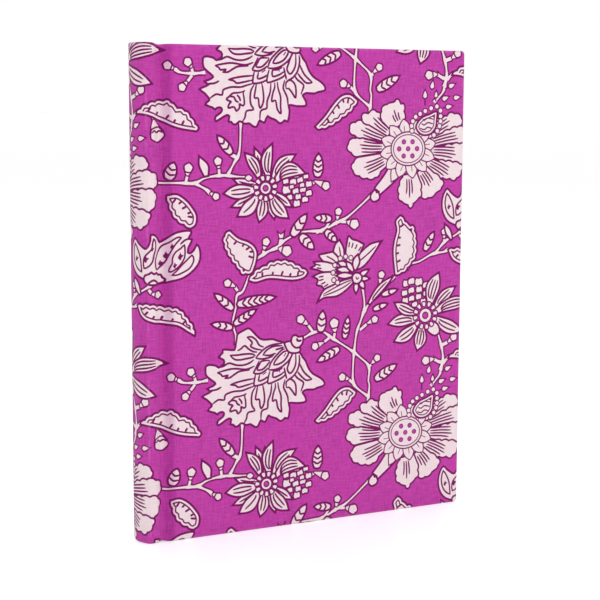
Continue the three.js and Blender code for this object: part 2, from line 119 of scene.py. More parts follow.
@dataclass(frozen=True)
class BookSizes:
    """Sizes of the bound book in millimetres, the same as in the CAD source."""

    case_width: float = 152.0
    case_height: float = 202.5
    spine_head_rise: float = 0.5
    spine_round: float = 3.1
    spine_corner_radius: float = 2.2
    half_thickness: float = 8.228
    cloth: float = 0.4
    glue: float = 0.02
    board: float = 2.0
    board_corner: float = 1.2
    turn_in: float = 15.0
    groove_centre: float = 5.7
    groove_half_width: float = 2.8
    groove_depth: float = 1.6
    board_to_groove: float = 0.3
    stiffener: float = 0.8
    stiffener_land: float = 2.4
    square: float = 3.0
    section_count: int = 7
    leaves_per_section: int = 8
    leaf: float = 0.156
    leaf_air: float = 0.02
    fold_pitch: float = 1.85
    spine_gap: float = 2.83

    @property
    def corner_x(self) -> float:
        """Where the flat front meets the rounded spine."""
        return -self.case_width / 2 + self.spine_round

    @property
    def gutter_x(self) -> float:
        """The bottom of the joint groove, where the cover bends."""
        return self.corner_x + self.groove_centre

    @property
    def board_spine_x(self) -> float:
        """The board's edge beside the groove."""
        return self.gutter_x + self.groove_half_width + self.board_to_groove

    @property
    def fore_x(self) -> float:
        """The fore-edge of the case."""
        return self.case_width / 2

    @property
    def spine_radius(self) -> float:
        """Radius of the rounded back, outside the cloth."""
        return (self.half_thickness**2 + self.spine_round**2) / (2 * self.spine_round)

    @property
    def arc_x(self) -> float:
        """Centre of the rounded back."""
        return -self.case_width / 2 + self.spine_radius

    @property
    def wrap(self) -> float:
        """Thickness of a board with its cloth on both faces."""
        return self.board + 2 * self.cloth + 2 * self.glue

    @property
    def section(self) -> float:
        """Thickness of one section's leaves."""
        return self.leaves_per_section * self.leaf + (self.leaves_per_section - 1) * self.leaf_air

    def groove_dip(self, x: np.ndarray) -> np.ndarray:
        """Depth of the cloth below the board's level at each x.

        Args:
            x: places along the width.

        Returns:
            The dip at each place, zero outside the groove.
        """
        away = np.minimum(np.abs(x - self.gutter_x) / self.groove_half_width, 1)
        return self.groove_depth * (1 + np.cos(np.pi * away)) / 2


BOOK = BookSizes()


def spline(a: np.ndarray, b: np.ndarray, c: np.ndarray, d: np.ndarray, t: np.ndarray) -> np.ndarray:
    """A smooth line from b to c, as part of a longer one.

    Args:
        a: the point before.
        b: where it starts.
        c: where it ends.
        d: the point after.
        t: shares of the way.

    Returns:
        The places at those shares.
    """
    bend = (2 * a - 5 * b + 4 * c - d) * t**2
    return 0.5 * (2 * b + (c - a) * t + bend + (3 * b - a - 3 * c + d) * t**3)


def curve(points: list[Point], steps: int = 5) -> Outline:
    """A smooth open line through points.

    Args:
        points: the places it passes.
        steps: segments between two points.

    Returns:
        The line's points.
    """
    p = np.asarray(points, float)
    if len(p) < 3:
        return p
    p = np.vstack([2 * p[0] - p[1], p, 2 * p[-1] - p[-2]])
    t = np.linspace(0, 1, steps, endpoint=False)[:, None]
    runs = [spline(*four, t) for four in zip(p, p[1:], p[2:], p[3:])]
    return np.vstack([*runs, p[-2:-1]])


def loop(points: list[Point], steps: int = 4) -> Outline:
    """A smooth closed line through points.

    Args:
        points: the places it passes.
        steps: segments between two points.

    Returns:
        The line's points, without the first repeated.
    """
    p = np.asarray(points, float)
    t = np.linspace(0, 1, steps, endpoint=False)[:, None]
    four = (np.roll(p, k, axis=0)[:, None, :] for k in (1, 0, -1, -2))
    return spline(*four, t).reshape(-1, 2)


def cornered(*runs: list[Point], steps: int = 4) -> Outline:
    """A closed line of smooth runs that meet at corners.

    Args:
        runs: open runs, each starting where the one before it ends.
        steps: segments between two points.

    Returns:
        The outline's points.
    """
    return np.vstack([curve(run, steps)[:-1] for run in runs])


def enclosed(outline: Outline) -> float:
    """The area inside a closed line, negative where it runs clockwise."""
    x, y = outline[:, 0], outline[:, 1]
    return float(np.sum(x * np.roll(y, -1) - np.roll(x, -1) * y)) / 2


def turned(outline: Outline) -> Outline:
    """The outline, running anticlockwise."""
    return outline if enclosed(outline) > 0 else outline[::-1]


def unit(v: np.ndarray) -> np.ndarray:
    """Vectors brought to a length of one."""
    return v / np.maximum(np.linalg.norm(v, axis=-1, keepdims=True), TINY)


def left_of(v: np.ndarray) -> np.ndarray:
    """Vectors turned a quarter to the left."""
    return np.stack([-v[..., 1], v[..., 0]], axis=-1)


def ray(turn: float | np.ndarray) -> np.ndarray:
    """The direction at an angle in radians, or at each of several."""
    return np.stack([np.cos(turn), np.sin(turn)], axis=-1)


def distances(line: Outline) -> np.ndarray:
    """How far along a line each of its points lies."""
    return np.append(0, np.cumsum(np.linalg.norm(np.diff(line, axis=0), axis=1)))


def walked(line: Outline, way: float | np.ndarray) -> np.ndarray:
    """Places at given distances along a line."""
    return np.stack([np.interp(way, distances(line), line[:, k]) for k in (0, 1)], axis=-1)


def mirrored(side: list[Point]) -> list[Point]:
    """The other side of a motif that is alike on both, run backwards."""
    return [(a, -b) for a, b in reversed(side)]


def grown(outline: Outline, distance: float) -> Outline:
    """An outline moved outwards, or inwards where the distance is negative.

    Args:
        outline: a closed line.
        distance: how far each side moves.

    Returns:
        The moved outline, running anticlockwise, without points that came too near a side.
    """
    p = turned(outline)
    right = -left_of(unit(np.roll(p, -1, axis=0) - p))
    normal = unit(right + np.roll(right, 1, axis=0))
    mitre = np.sum(normal * right, axis=1, keepdims=True)
    moved = p + normal * distance / np.maximum(mitre, MITRE_LEAST)
    a, b = p[None, :, :], np.roll(p, -1, axis=0)[None, :, :]
    run = b - a
    share = np.sum((moved[:, None] - a) * run, axis=2) / np.maximum(np.sum(run * run, axis=2), TINY)
    nearest = a + run * np.clip(share, 0, 1)[..., None]
    clear = np.linalg.norm(moved[:, None] - nearest, axis=2).min(axis=1) > abs(distance) * CLEAR_SHARE
    return moved[clear] if clear.sum() > 3 else moved


def scalloped(line: Outline, depth: float, pitch: float) -> Outline:
    """A line with small rounded lobes to its right.

    Args:
        line: the smooth line.
        depth: how far the lobes stand out.
        pitch: their spacing.

    Returns:
        The lobed line, with the same ends.
    """
    whole = distances(line)[-1]
    count = max(round(whole / pitch), 2)
    p = walked(line, np.linspace(0, whole, STEPS_PER_LOBE * count + 1))
    lift = depth * np.abs(np.sin(np.linspace(0, math.pi * count, len(p))))[:, None]
    return p - left_of(unit(np.gradient(p, axis=0))) * lift


def ribbon(line: Outline, width: float | np.ndarray, ends: float = 0.55) -> Outline:
    """The outline of a brush stroke along a line.

    Args:
        line: the stroke's middle.
        width: its width, or a column of widths, one for each point.
        ends: width at its ends as a share of that.

    Returns:
        A closed outline.
    """
    normal = left_of(unit(np.gradient(line, axis=0)))
    along = np.linspace(-1, 1, len(line))[:, None] ** TAPER_POWER
    half = width / 2 * (1 - (1 - ends) * along)
    return turned(np.vstack([line + normal * half, (line - normal * half)[::-1]]))


@dataclass
class BlockPrint:
    """One repeat of the cloth's print, drawn back to front."""

    across: Point = (147.3, 17.0)
    down: Point = (0.5, -125.3)
    shift: Point = (0.0, 0.0)
    shapes: list[Shape] = field(default_factory=list)
    line: float = 0.92
    broad: float = 0.8
    fold: float = 0.78
    torn: float = 0.75
    light: float = 0.7
    ray_line: float = 0.66
    fine: float = 0.6
    hair: float = 0.55
    faint: float = 0.5
    press: float = 1.12
    stem: float = 2.3
    core: float = 0.95
    twig: float = 1.9
    twig_core: float = 0.7
    thin: float = 0.72
    swell: float = 0.85
    swell_reach: float = 2.0
    bud_foot: float = 0.9
    bud_curl: tuple[float, float] = (0.05, 0.07)
    petal_line: float = 0.68
    rim: float = 1.25
    rim_line: float = 0.65
    lobe: float = 0.55
    lobe_pitch: float = 3.4
    vein: float = 0.95
    vein_gap: float = 0.25
    vein_reach: tuple[float, float] = (2.3, 1.7)

    def lay(self, outline: Outline, ink: Ink) -> None:
        """Adds one flat shape over those before it."""
        self.shapes.append((turned(outline) + np.asarray(self.shift), ink))

    def repeated(self, side: Side, middle: float, low: np.ndarray, high: np.ndarray) -> list[Shape]:
        """The print stepped over one half of the cloth.

        Args:
            side: the half; on the back the print goes on round the spine.
            middle: the spine's middle, as a distance along the cloth.
            low: lowest corner of the half.
            high: highest corner of the half.

        Returns:
            The shapes that touch the half, back to front.
        """
        found = []
        across, down = np.asarray(self.across), np.asarray(self.down)
        steps = [across * i + down * j for i in range(-3, 3) for j in range(-2, 3)]
        for shape, ink in self.shapes:
            least, most = shape.min(axis=0), shape.max(axis=0)
            for move in steps:
                a, b = least + move, most + move
                if side is Side.BACK:
                    a[0], b[0] = 2 * middle - b[0], 2 * middle - a[0]
                if (a < high).all() and (b > low).all():
                    moved = shape + move
                    if side is Side.BACK:
                        moved = turned(np.stack([2 * middle - moved[:, 0], moved[:, 1]], axis=1))
                    found.append((moved, ink))
        return found

    def blob(self, outline: Outline, line: float | None = None) -> None:
        """A cream shape inside a dark line.

        Args:
            outline: the middle of the line.
            line: its width, the print's own if not given.
        """
        half = (line or self.line) * 0.5
        self.lay(grown(outline, half), Ink.DARK)
        self.lay(grown(outline, -half), Ink.CREAM)

    def stroke(self, points: list[Point], width: float | None = None, steps: int = 4) -> None:
        """A dark line with tapered ends."""
        self.lay(ribbon(curve(points, steps), (width or self.line) * self.press), Ink.DARK)

    def dot(self, at: Point, radius: float, ink: Ink, corners: int = 10) -> None:
        """A round spot."""
        self.lay(np.asarray(at) + radius * ray(np.linspace(0, 2 * np.pi, corners, endpoint=False)), ink)

    def stems(self, paths: list[list[Point]], twigs: list[list[Point]]) -> None:
        """Branching cream stems between dark sides.

        Args:
            paths: the middle line of each stem.
            twigs: the middle line of each thinner one.
        """
        joints = np.array([path[k] for path in paths + twigs for k in (0, -1)], float)
        lines = [(curve(path, 4), self.stem, self.core) for path in paths]
        lines += [(curve(path, 3), self.twig, self.twig_core) for path in twigs]
        cores = []
        for line, width, core in lines:
            gap = np.linalg.norm(line[:, None] - joints[None], axis=2).min(axis=1)
            swollen = core * (self.thin + self.swell * np.exp(-(gap / self.swell_reach) ** 2))[:, None]
            self.lay(ribbon(line, swollen + (width - core), 1.0), Ink.DARK)
            cores.append(ribbon(line, swollen, 1.0))
        for core in cores:
            self.lay(core, Ink.CREAM)

    def striped_bud(self, base: Point, tip: Point, width: float, bands: int = 3) -> None:
        """A pointed bud of cream bands.

        Args:
            base: its rounded end.
            tip: its point.
            width: its widest measure.
            bands: how many cream bands.
        """
        start = np.asarray(base, float)
        start -= (np.asarray(tip) - start) / np.linalg.norm(np.asarray(tip) - start) * self.bud_foot
        frame = Frame.between(tuple(start), tip)
        w = width / 2
        foot = (0.0, 0.0)
        side = [(0.04, 0.66 * w), (0.28, 1.05 * w), (0.58, 0.98 * w), (0.84, 0.6 * w), (1.0, 0.0)]
        other = mirrored(side)
        self.blob(cornered(frame.at(side), frame.at(other), frame.at([other[-1], foot, side[0]])))
        ends, middle = self.bud_curl
        for k in range(1, bands):
            along = 0.08 + 0.84 * k / bands
            reach = w * (1.08 - 0.45 * along)
            band = [(along + ends, -reach), (along - middle, 0.0), (along + ends, reach)]
            self.stroke(frame.at(band), self.broad, 3)

    def bud(self, calyx: Point, cap: Point, radius: float) -> None:
        """A cotton-like bud in its calyx.

        Args:
            calyx: the narrow end of the calyx.
            cap: centre of the bud.
            radius: the bud's radius.
        """
        frame = Frame.between(calyx, cap)
        r = radius / frame.length
        cup = [(-0.12, 0.4), (0.5 * (1 - r), 0.55 * radius), (1 - 0.35 * r, 1.02 * radius)]
        other = mirrored(cup)
        rim, foot = [cup[-1], other[0]], [other[-1], cup[0]]
        self.blob(cornered(*(frame.at(run) for run in (cup, rim, other, foot))), self.hair)
        ring = []
        for k in range(10):
            turn, out = math.pi * k / 5, (1.1, 0.98)[k % 2]
            ring.append((1 + out * math.cos(turn) * r, out * math.sin(turn) * radius))
        self.blob(loop(frame.at(ring), 2), self.light)

    def plain_bud(self, foot: Point, cap: Point, radius: float) -> None:
        """A small pointed bud on a fine stalk.

        Args:
            foot: where its stalk starts.
            cap: the bud's middle.
            radius: half of its width.
        """
        frame = Frame.between(foot, cap)
        if frame.length > 2.2 * radius:
            self.stroke([foot, cap], 1.1)
        r = radius / frame.length
        side = [(1 - 1.35 * r, 0.0), (1 - 0.7 * r, 0.85 * radius), (1 + 0.3 * r, 0.8 * radius)]
        side.append((1 + 1.9 * r, 0.0))
        self.blob(cornered(frame.at(side), frame.at(mirrored(side)), steps=3), self.fine)

    def petal(self, base: Point, tip: Point, width: float, bend: float = 0.0, stripes: int = 2) -> None:
        """A narrow pointed petal with dark lines along it.

        Args:
            base: its foot.
            tip: its point.
            width: its widest measure.
            bend: how far its middle bows to its left, as a share of its length.
            stripes: lines along it.
        """
        frame = Frame.between(base, tip)
        bow = bend * frame.length
        spine = [(0.0, 0.42), (0.25, 0.8), (0.5, 1.0), (0.75, 0.72), (1.0, 0.0)]
        line = [(a, b * width / 2, 4 * a * (1 - a) * bow) for a, b in spine]
        left = [(a, c + b) for a, b, c in line]
        right = [(a, c - b) for a, b, c in line]
        foot = [right[0], left[0]]
        self.blob(cornered(*(frame.at(run) for run in (left, right[::-1], foot)), steps=3))
        for k in range(stripes):
            share = (k + 1) / (stripes + 1) * 2 - 1
            stripe = [(max(a, 0.14), c + b * share) for a, b, c in line[:-1]]
            self.stroke(frame.at(stripe), self.petal_line, 3)

    def leaf(self, left: list[Point], right: list[Point], veins: int = 5, on_left: bool = False) -> None:
        """A leaf with one lobed edge, a second line inside and short veins from the other edge.

        Args:
            left: one edge, from the leaf's foot to its tip.
            right: the other edge, from its tip to the foot.
            veins: how many are drawn.
            on_left: draws the veins in from the left edge instead of the right one.
        """
        edges = [curve(left), curve(right)]
        lobed, plain = (1, 0) if on_left else (0, 1)
        spin = np.sign(enclosed(np.vstack(edges)))
        edges[lobed] = scalloped(edges[lobed], self.lobe * spin, self.lobe_pitch)
        outline = np.vstack([edges[0][:-1], edges[1][:-1]])
        self.blob(outline)
        inner = grown(outline, -self.rim)
        self.lay(inner, Ink.DARK)
        self.lay(grown(inner, -self.rim_line), Ink.CREAM)
        middle, tip = np.mean(outline, axis=0), np.asarray(left[-1], float)
        for k in range(veins):
            self.lay(self.vein_stroke(edges[plain], (k, veins), middle, tip), Ink.DARK)

    def vein_stroke(self, edge: Outline, rank: tuple[int, int], middle: np.ndarray,
                    tip: np.ndarray) -> Outline:
        """One short vein that starts beside a leaf's edge.

        Args:
            edge: the leaf's edge.
            rank: which vein this is, and how many there are.
            middle: the leaf's middle, which the vein heads for.
            tip: the leaf's tip, towards which it leans.

        Returns:
            The vein's outline.
        """
        k, veins = rank
        along = (0.2 + 0.56 * k / max(veins - 1, 1)) * distances(edge)[-1]
        at, beyond = walked(edge, along), walked(edge, along + 1)
        inward = np.array([at[1] - beyond[1], beyond[0] - at[0]])
        inward *= np.sign(inward @ (middle - at)) / np.linalg.norm(inward)
        ahead = (tip - at) / np.linalg.norm(tip - at)
        start = at + inward * (self.rim + self.vein_gap)
        way = (inward * 0.9 + ahead * 0.3) * self.vein_reach[k % 2]
        line = [tuple(start), tuple(start + way * 0.5 + inward * 0.15), tuple(start + way)]
        return ribbon(curve(line, 3), self.vein, 0.25)


@dataclass(frozen=True)
class Frame:
    """Axes along and across a motif, from its base to its tip."""

    base: np.ndarray
    axis: np.ndarray
    length: float

    @classmethod
    def between(cls, base: Point, tip: Point) -> "Frame":
        """The frame from one point to another.

        Args:
            base: where it starts.
            tip: where it ends.

        Returns:
            The frame.
        """
        b, t = np.asarray(base, float), np.asarray(tip, float)
        length = float(np.linalg.norm(t - b))
        return cls(b, (t - b) / length, length)

    def at(self, places: list[Point]) -> list[Point]:
        """Places given as a share of the length and a distance to the left.

        Args:
            places: pairs of share and distance.

        Returns:
            Their points on the cloth.
        """
        left = np.array([-self.axis[1], self.axis[0]])
        return [tuple(self.base + self.axis * self.length * a + left * b) for a, b in places]


class TrailingFloral(BlockPrint):
    """The notebook's print: rosette, carnation, two daisies, a tulip, and the vines between."""

    plain_full = 1.35
    petal_full = 1.14
    petal_sunk = 0.22
    cell_full = 1.12
    ray_foot = 11.5
    ray_lobes = (-0.6, 4.0)
    stripe_foot = 13
    stripe_pitch = 1.3
    eye_share = 0.42
    round_buds = (
        ((16.9, 148), (17.5, 150.6), (18, 153.5), 1.9), ((31.5, 150.6), (31.3, 153.3), (30.9, 156), 1.8),
        ((26.6, 143.6), (27.6, 143.1), (30, 141.7), 1.6), ((73.8, 146), (75.5, 147), (80.5, 145), 1.9),
        ((51.2, 117.4), (51.6, 119.4), (52.6, 122.4), 1.8),
        ((56.5, 119.6), (58.6, 119.3), (62.2, 118.2), 2.3), ((85.4, 128.4), (86, 130.8), (86.6, 134), 1.7),
        ((88, 129.6), (91, 129.4), (94.4, 128.4), 2.2), ((39.5, 102.6), (38.2, 104.6), (35, 106), 1.7),
        ((74.5, 83.4), (72, 86.6), (68.8, 88.9), 1.9), ((84.8, 79.8), (85.3, 82.6), (84.9, 86.2), 2.2),
        ((82.5, 80), (79.6, 78.1), (75.7, 76.8), 1.7), ((94.7, 59), (92, 61.4), (89, 62.4), 1.8),
        ((102.6, 66), (103.6, 67.4), (106.3, 69.5), 1.7), ((106.2, 98), (107.2, 102.6), (108, 106), 1.7),
        ((97.6, 82.4), (101.4, 85.2), (104.9, 86.6), 1.7),
        ((139.9, 119), (139.7, 120.8), (139.7, 123.6), 1.5),
        ((138, 190.6), (134.6, 192.2), (130.7, 191.8), 2.0),
        ((138.6, 198), (142.4, 199.4), (145.2, 201.4), 1.8), ((0.5, 105), (1.9, 103.2), (4.8, 102.7), 1.6),
        ((20, 191.5), (19.6, 193.5), (18, 195.5), 1.8), ((12.5, 192.6), (11.7, 193), (9.3, 194), 1.8),
        ((19.8, 190.2), (17.5, 187.5), (15.5, 185.5), 1.7), ((3, 174), (3.4, 172.2), (4.8, 166.8), 2.9),
    )

    def draw(self) -> "TrailingFloral":
        """Draws one repeat, back to front.

        Returns:
            The print itself.
        """
        self.vines()
        self.leaves()
        self.buds()
        self.tulip()
        self.carnation()
        self.rosette()
        self.paisley()
        self.pineapples()
        self.daisies()
        self.fan_flower()
        return self

    def vines(self) -> None:
        """The stems, which run under everything else."""
        self.stems([
            [(1, 147.7), (14.8, 147.5), (20.7, 147.3), (25.7, 149.4), (33.6, 150.2), (44, 149)],
            [(20.7, 147.3), (25.7, 144.6), (27.6, 142.8)],
            [(41.1, 172), (40.5, 160), (38.2, 155.4), (35.4, 150.6)], [(39.2, 157.4), (36.3, 158.8)],
            [(46, 114), (50, 116.5), (54, 118.5), (58, 120), (60, 122), (65, 124.5), (70, 126), (79, 126)],
            [(80, 126.4), (81.4, 128.4), (82.2, 130.4)], [(59.2, 121.6), (59.6, 124)],
            [(76, 125.5), (82, 127.5), (85, 129), (90, 131), (95, 134.5), (103, 141)],
            [(46.5, 112), (44.4, 107.7), (41.9, 102.3), (39.2, 100.6), (38.6, 95.2), (37.3, 89.3),
             (38.6, 84.3), (39, 80)],
            [(68, 80), (69.7, 80.6), (75.1, 82.9), (79.7, 82.7), (83.4, 80.2), (88.8, 76.8), (93.8, 73.5),
             (98, 70.2), (102.2, 66), (102, 60), (102.5, 57), (101.5, 48)],
            [(94.7, 73), (94.3, 67), (94.3, 60.7), (95.9, 57.4), (102, 52.8)],
            [(98.6, 101.5), (99.7, 92.7), (98, 86.8), (95.9, 81.4), (94.7, 73)],
            [(99.5, 90), (101.8, 93.5), (107.8, 98.5), (114.5, 105)],
            [(120.4, 107.8), (122.8, 110), (127.2, 111), (132.6, 113.5), (135.5, 114.3), (139.4, 114.6),
             (141.8, 115.5)], [(135, 114), (140.1, 119.2), (145, 121.6), (149.2, 124)],
            [(135.9, 207), (137.2, 202.6), (139, 197), (139.7, 191), (138.2, 187)],
            [(139.7, 191), (138, 190.6), (133.8, 192.7)], [(138.6, 198), (142.4, 199.4)],
            [(140, 190), (141.3, 191.4), (143.4, 192.8)], [(133.4, 180.2), (138, 184.8), (139.3, 189.8)],
            [(25.5, 191.5), (20.5, 191), (15, 191.3), (12.5, 192.6)],
        ], [[stalk, calyx] for stalk, calyx, _, _ in self.round_buds if stalk != calyx])

    def leaves(self) -> None:
        """Broad leaves with a second line inside."""
        self.leaf([(46.5, 110), (42, 109.5), (39.5, 112.5), (37, 115.5), (34.8, 119), (33.5, 122.5),
                   (33.7, 125.5), (36.1, 127.7)],
                  [(36.1, 127.7), (40, 124.5), (44, 123), (47, 121), (48.5, 118), (48, 114), (46.5, 110)])
        self.leaf([(44.5, 106.5), (48, 110.6), (52.2, 112.3), (55.5, 113.9), (61.8, 114.1), (66.3, 112.3),
                   (70.1, 110.2), (72.2, 108.5)],
                  [(72.2, 108.5), (70.1, 106.4), (64.7, 105.6), (54.3, 106.8), (48, 105.6),
                   (44.5, 106.5)])
        self.leaf([(95.6, 180.8), (91.8, 183.3), (87.6, 182.7), (83.8, 179.3), (79.7, 174.3),
                   (75.1, 169.8)],
                  [(75.1, 169.8), (78, 168.9), (83.4, 170.6), (88, 173.5), (92.2, 176.4), (95.6, 180.8)],
                  on_left=True)
        self.leaf([(114.7, 105.5), (113.6, 114.6), (114, 120), (115.3, 125), (114.7, 129), (117, 131.5)],
                  [(117, 131.5), (119.3, 129.2), (121.3, 127.1), (123.8, 126.3), (124.7, 123.3),
                   (125.3, 120.4), (125.1, 113.5), (122.6, 110.2), (119.3, 106.8), (114.7, 105.5)],
                  on_left=True)
        self.leaf([(19, 129), (13, 132.5), (10, 137), (8.5, 142.7)],
                  [(8.5, 142.7), (13, 143), (17, 140.5), (20, 137), (21.5, 134), (21, 130.5), (19, 129)])
        self.leaf([(-5.5, 98.5), (-3, 94), (2, 91.5), (8, 90.5), (13, 89.5), (17, 87), (20.3, 85)],
                  [(20.3, 85), (19.5, 89), (17, 92.5), (14, 96), (10, 97.3), (5, 98), (0, 99),
                   (-5.5, 98.5)], on_left=True)
        self.leaf([(-5, 175), (0, 174.5), (5, 172.8), (10, 170.5), (15, 169), (21.5, 168)],
                  [(21.5, 168), (22, 169.5), (20, 172.5), (17, 176), (13, 177.5), (10, 180), (6, 180),
                   (0, 178.5), (-5, 175)], on_left=True)
        self.blob(cornered([(24.8, 149.8), (22.6, 154.2), (22.6, 158.2)],
                           [(22.6, 158.2), (26.6, 154.6), (26.7, 150.1)], [(26.7, 150.1), (24.8, 149.8)]))
        self.petal((101.8, 93.5), (114.2, 105.2), 3.2, 0.05, 1)

    def buds(self) -> None:
        """Round and striped buds along the vines."""
        for base, tip, width, bands in (
            ((9.4, 149.6), (11.9, 155.8), 4.8, 3), ((36.5, 159.5), (30.6, 166.4), 3.6, 3),
            ((76.5, 149.5), (77, 158.7), 4.5, 4), ((65, 125), (71.5, 133.5), 4.2, 3),
            ((82.5, 131), (75, 131.8), 3.4, 3), ((81, 125.5), (86, 121.2), 3.6, 3),
            ((69, 124), (75, 118.4), 4.2, 3), ((37, 95.5), (29, 102), 3.4, 3),
            ((40, 97), (57.2, 99.1), 4.2, 6), ((38.5, 89), (48.2, 94.4), 3.4, 4),
            ((36.5, 87.5), (27.6, 89.5), 3.2, 3), ((78.4, 83.6), (79.4, 92), 4.2, 3),
            ((90.1, 80), (91.8, 88.8), 3.2, 4), ((86.8, 74.8), (76.6, 70), 3.8, 4),
            ((105.9, 60.3), (116.4, 66), 4.2, 4), ((130.1, 116.3), (134.5, 123.8), 3.4, 3),
            ((109, 97.3), (116.3, 99.1), 2.6, 2), ((104.8, 91.2), (111.3, 93.1), 2.6, 2),
        ):
            self.striped_bud(base, tip, width, bands)
        for _, calyx, cap, radius in self.round_buds:
            self.bud(calyx, cap, radius)
        self.stroke([(2.4, 167.4), (3.6, 168.3), (4.8, 167.6), (6.1, 168.3), (7.3, 167.6)], self.light)
        for foot, cap, radius in (
            ((128.8, 178.8), (128.8, 183.3), 0.95), ((132.2, 186.2), (132.4, 187.4), 0.95),
            ((134.2, 180.6), (134.4, 183.4), 0.8), ((137.1, 181.2), (139.0, 181.9), 0.95),
            ((143, 182), (144.9, 182.3), 0.95), ((138, 177.8), (140.9, 178.3), 0.95),
            ((139, 186), (142.2, 187.4), 0.95),
        ):
            self.plain_bud(foot, cap, radius * self.plain_full)
        self.blob(cornered([(58.6, 123.4), (57.6, 126.8)], [(57.6, 126.8), (59.4, 125.4), (61.4, 127)],
                           [(61.4, 127), (60.6, 123.6)], [(60.6, 123.6), (58.6, 123.4)], steps=2), self.fine)

    def tulip(self) -> None:
        """The half-open flower that the spine cuts through."""
        self.petal((-3.6, 103), (-7.4, 110), 2.8, 0, 0)
        self.blob(loop([
            (-2.1, 109.4), (-5, 110.6), (-7.4, 113), (-8.8, 116.4), (-9, 120), (-8.2, 123.2),
            (-6.4, 125.6), (-4.6, 124), (-2.8, 122.6), (-0.9, 121.5), (0.4, 122.4), (1.4, 124.8),
            (1.6, 127), (3.5, 126.8), (5, 125.3), (5.9, 123.9), (7.4, 124.9), (10.1, 126.5), (13, 127.7),
            (16.6, 128.2), (19, 128), (18.7, 126.5), (17.8, 125), (19.3, 124.6), (18.7, 123),
            (17.8, 121.5), (17.5, 119.4), (18.7, 119.1), (20.2, 120.3), (21.5, 122.4), (22.6, 120.9),
            (23, 117.9), (22.3, 114.9), (20.2, 112.3), (17.5, 110.2), (14.5, 108.8), (10.7, 108.1),
            (7.1, 107.5), (2, 106.7)
        ], 2))
        for inner in (
            [(-6.4, 123.4), (-4.4, 120.6), (-3.2, 117.6), (-2.8, 114.3), (-2.7, 112.3), (-4.8, 113.4),
             (-6.6, 115.8), (-7.4, 119.5)],
            [(2.9, 125.3), (2.3, 123.3), (1.9, 121.2), (-0.4, 119.1), (-1.6, 117), (-1.4, 113.7),
             (0.8, 114.6), (2.3, 116.4), (2.9, 119.1), (3.7, 121.2), (3.8, 123.9)],
            [(9.7, 123.9), (7.4, 123), (5.9, 121.5), (4.1, 118.2), (3.5, 115.8), (4.1, 113.1),
             (5.3, 113.4), (6.8, 114.9), (8.3, 117), (9.5, 119.1), (10.7, 120.9), (12.5, 123.3),
             (14.6, 125.4), (12.8, 125.6)],
            [(16, 122.4), (14.5, 121.2), (12.5, 120), (11.3, 118.5), (10.7, 116.7), (10.7, 115.2),
             (9.5, 113.4), (9.2, 112), (10.7, 112), (13, 113.4), (14.8, 115.2), (16, 117.3),
             (16.3, 119.7)],
            [(19.3, 118.2), (17.2, 116.4), (14.8, 114.3), (12.5, 112), (10.7, 110.5), (13, 110.5),
             (15.4, 111.4), (17.8, 112.6), (19.3, 114.3), (20.1, 116.4)],
        ):
            self.blob(loop(inner, 2), self.torn)
        for x, z, r in ((-0.4, 117.4, 1.2), (2.3, 121.4, 0.8), (8.2, 118.8, 1.25), (6.2, 115.6, 1.0),
                        (10.8, 122.2, 1.0), (14.4, 118, 1.3), (12, 114.4, 1.0), (-5.2, 117.6, 1.0)):
            self.lay(loop([(x - r, z - 0.5 * r), (x - 0.1 * r, z - 1.3 * r), (x + 0.3 * r, z - 0.5 * r),
                           (x + r, z + 0.3 * r), (x + 0.2 * r, z + 0.5 * r), (x - 0.1 * r, z + 1.2 * r),
                           (x - 0.6 * r, z + 0.3 * r)], 2), Ink.DARK)
        self.stroke([(14.2, 122.8), (16.4, 124.5), (18.4, 124.9)], self.torn)
        self.blob(loop([(-1.6, 109), (-1, 110.8), (0.8, 111.4), (1.7, 112), (2.9, 111.2), (4.1, 111.7),
                        (5, 110.8), (6.2, 110.8), (6.8, 109.6), (7.7, 109), (7.1, 107.7), (4.7, 107.2),
                        (2.6, 106.9), (-0.2, 107.3)], 2))
        self.blob(loop([(0.3, 107.3), (2.6, 108.8), (4.8, 107.3), (2.6, 106.8)], 3))

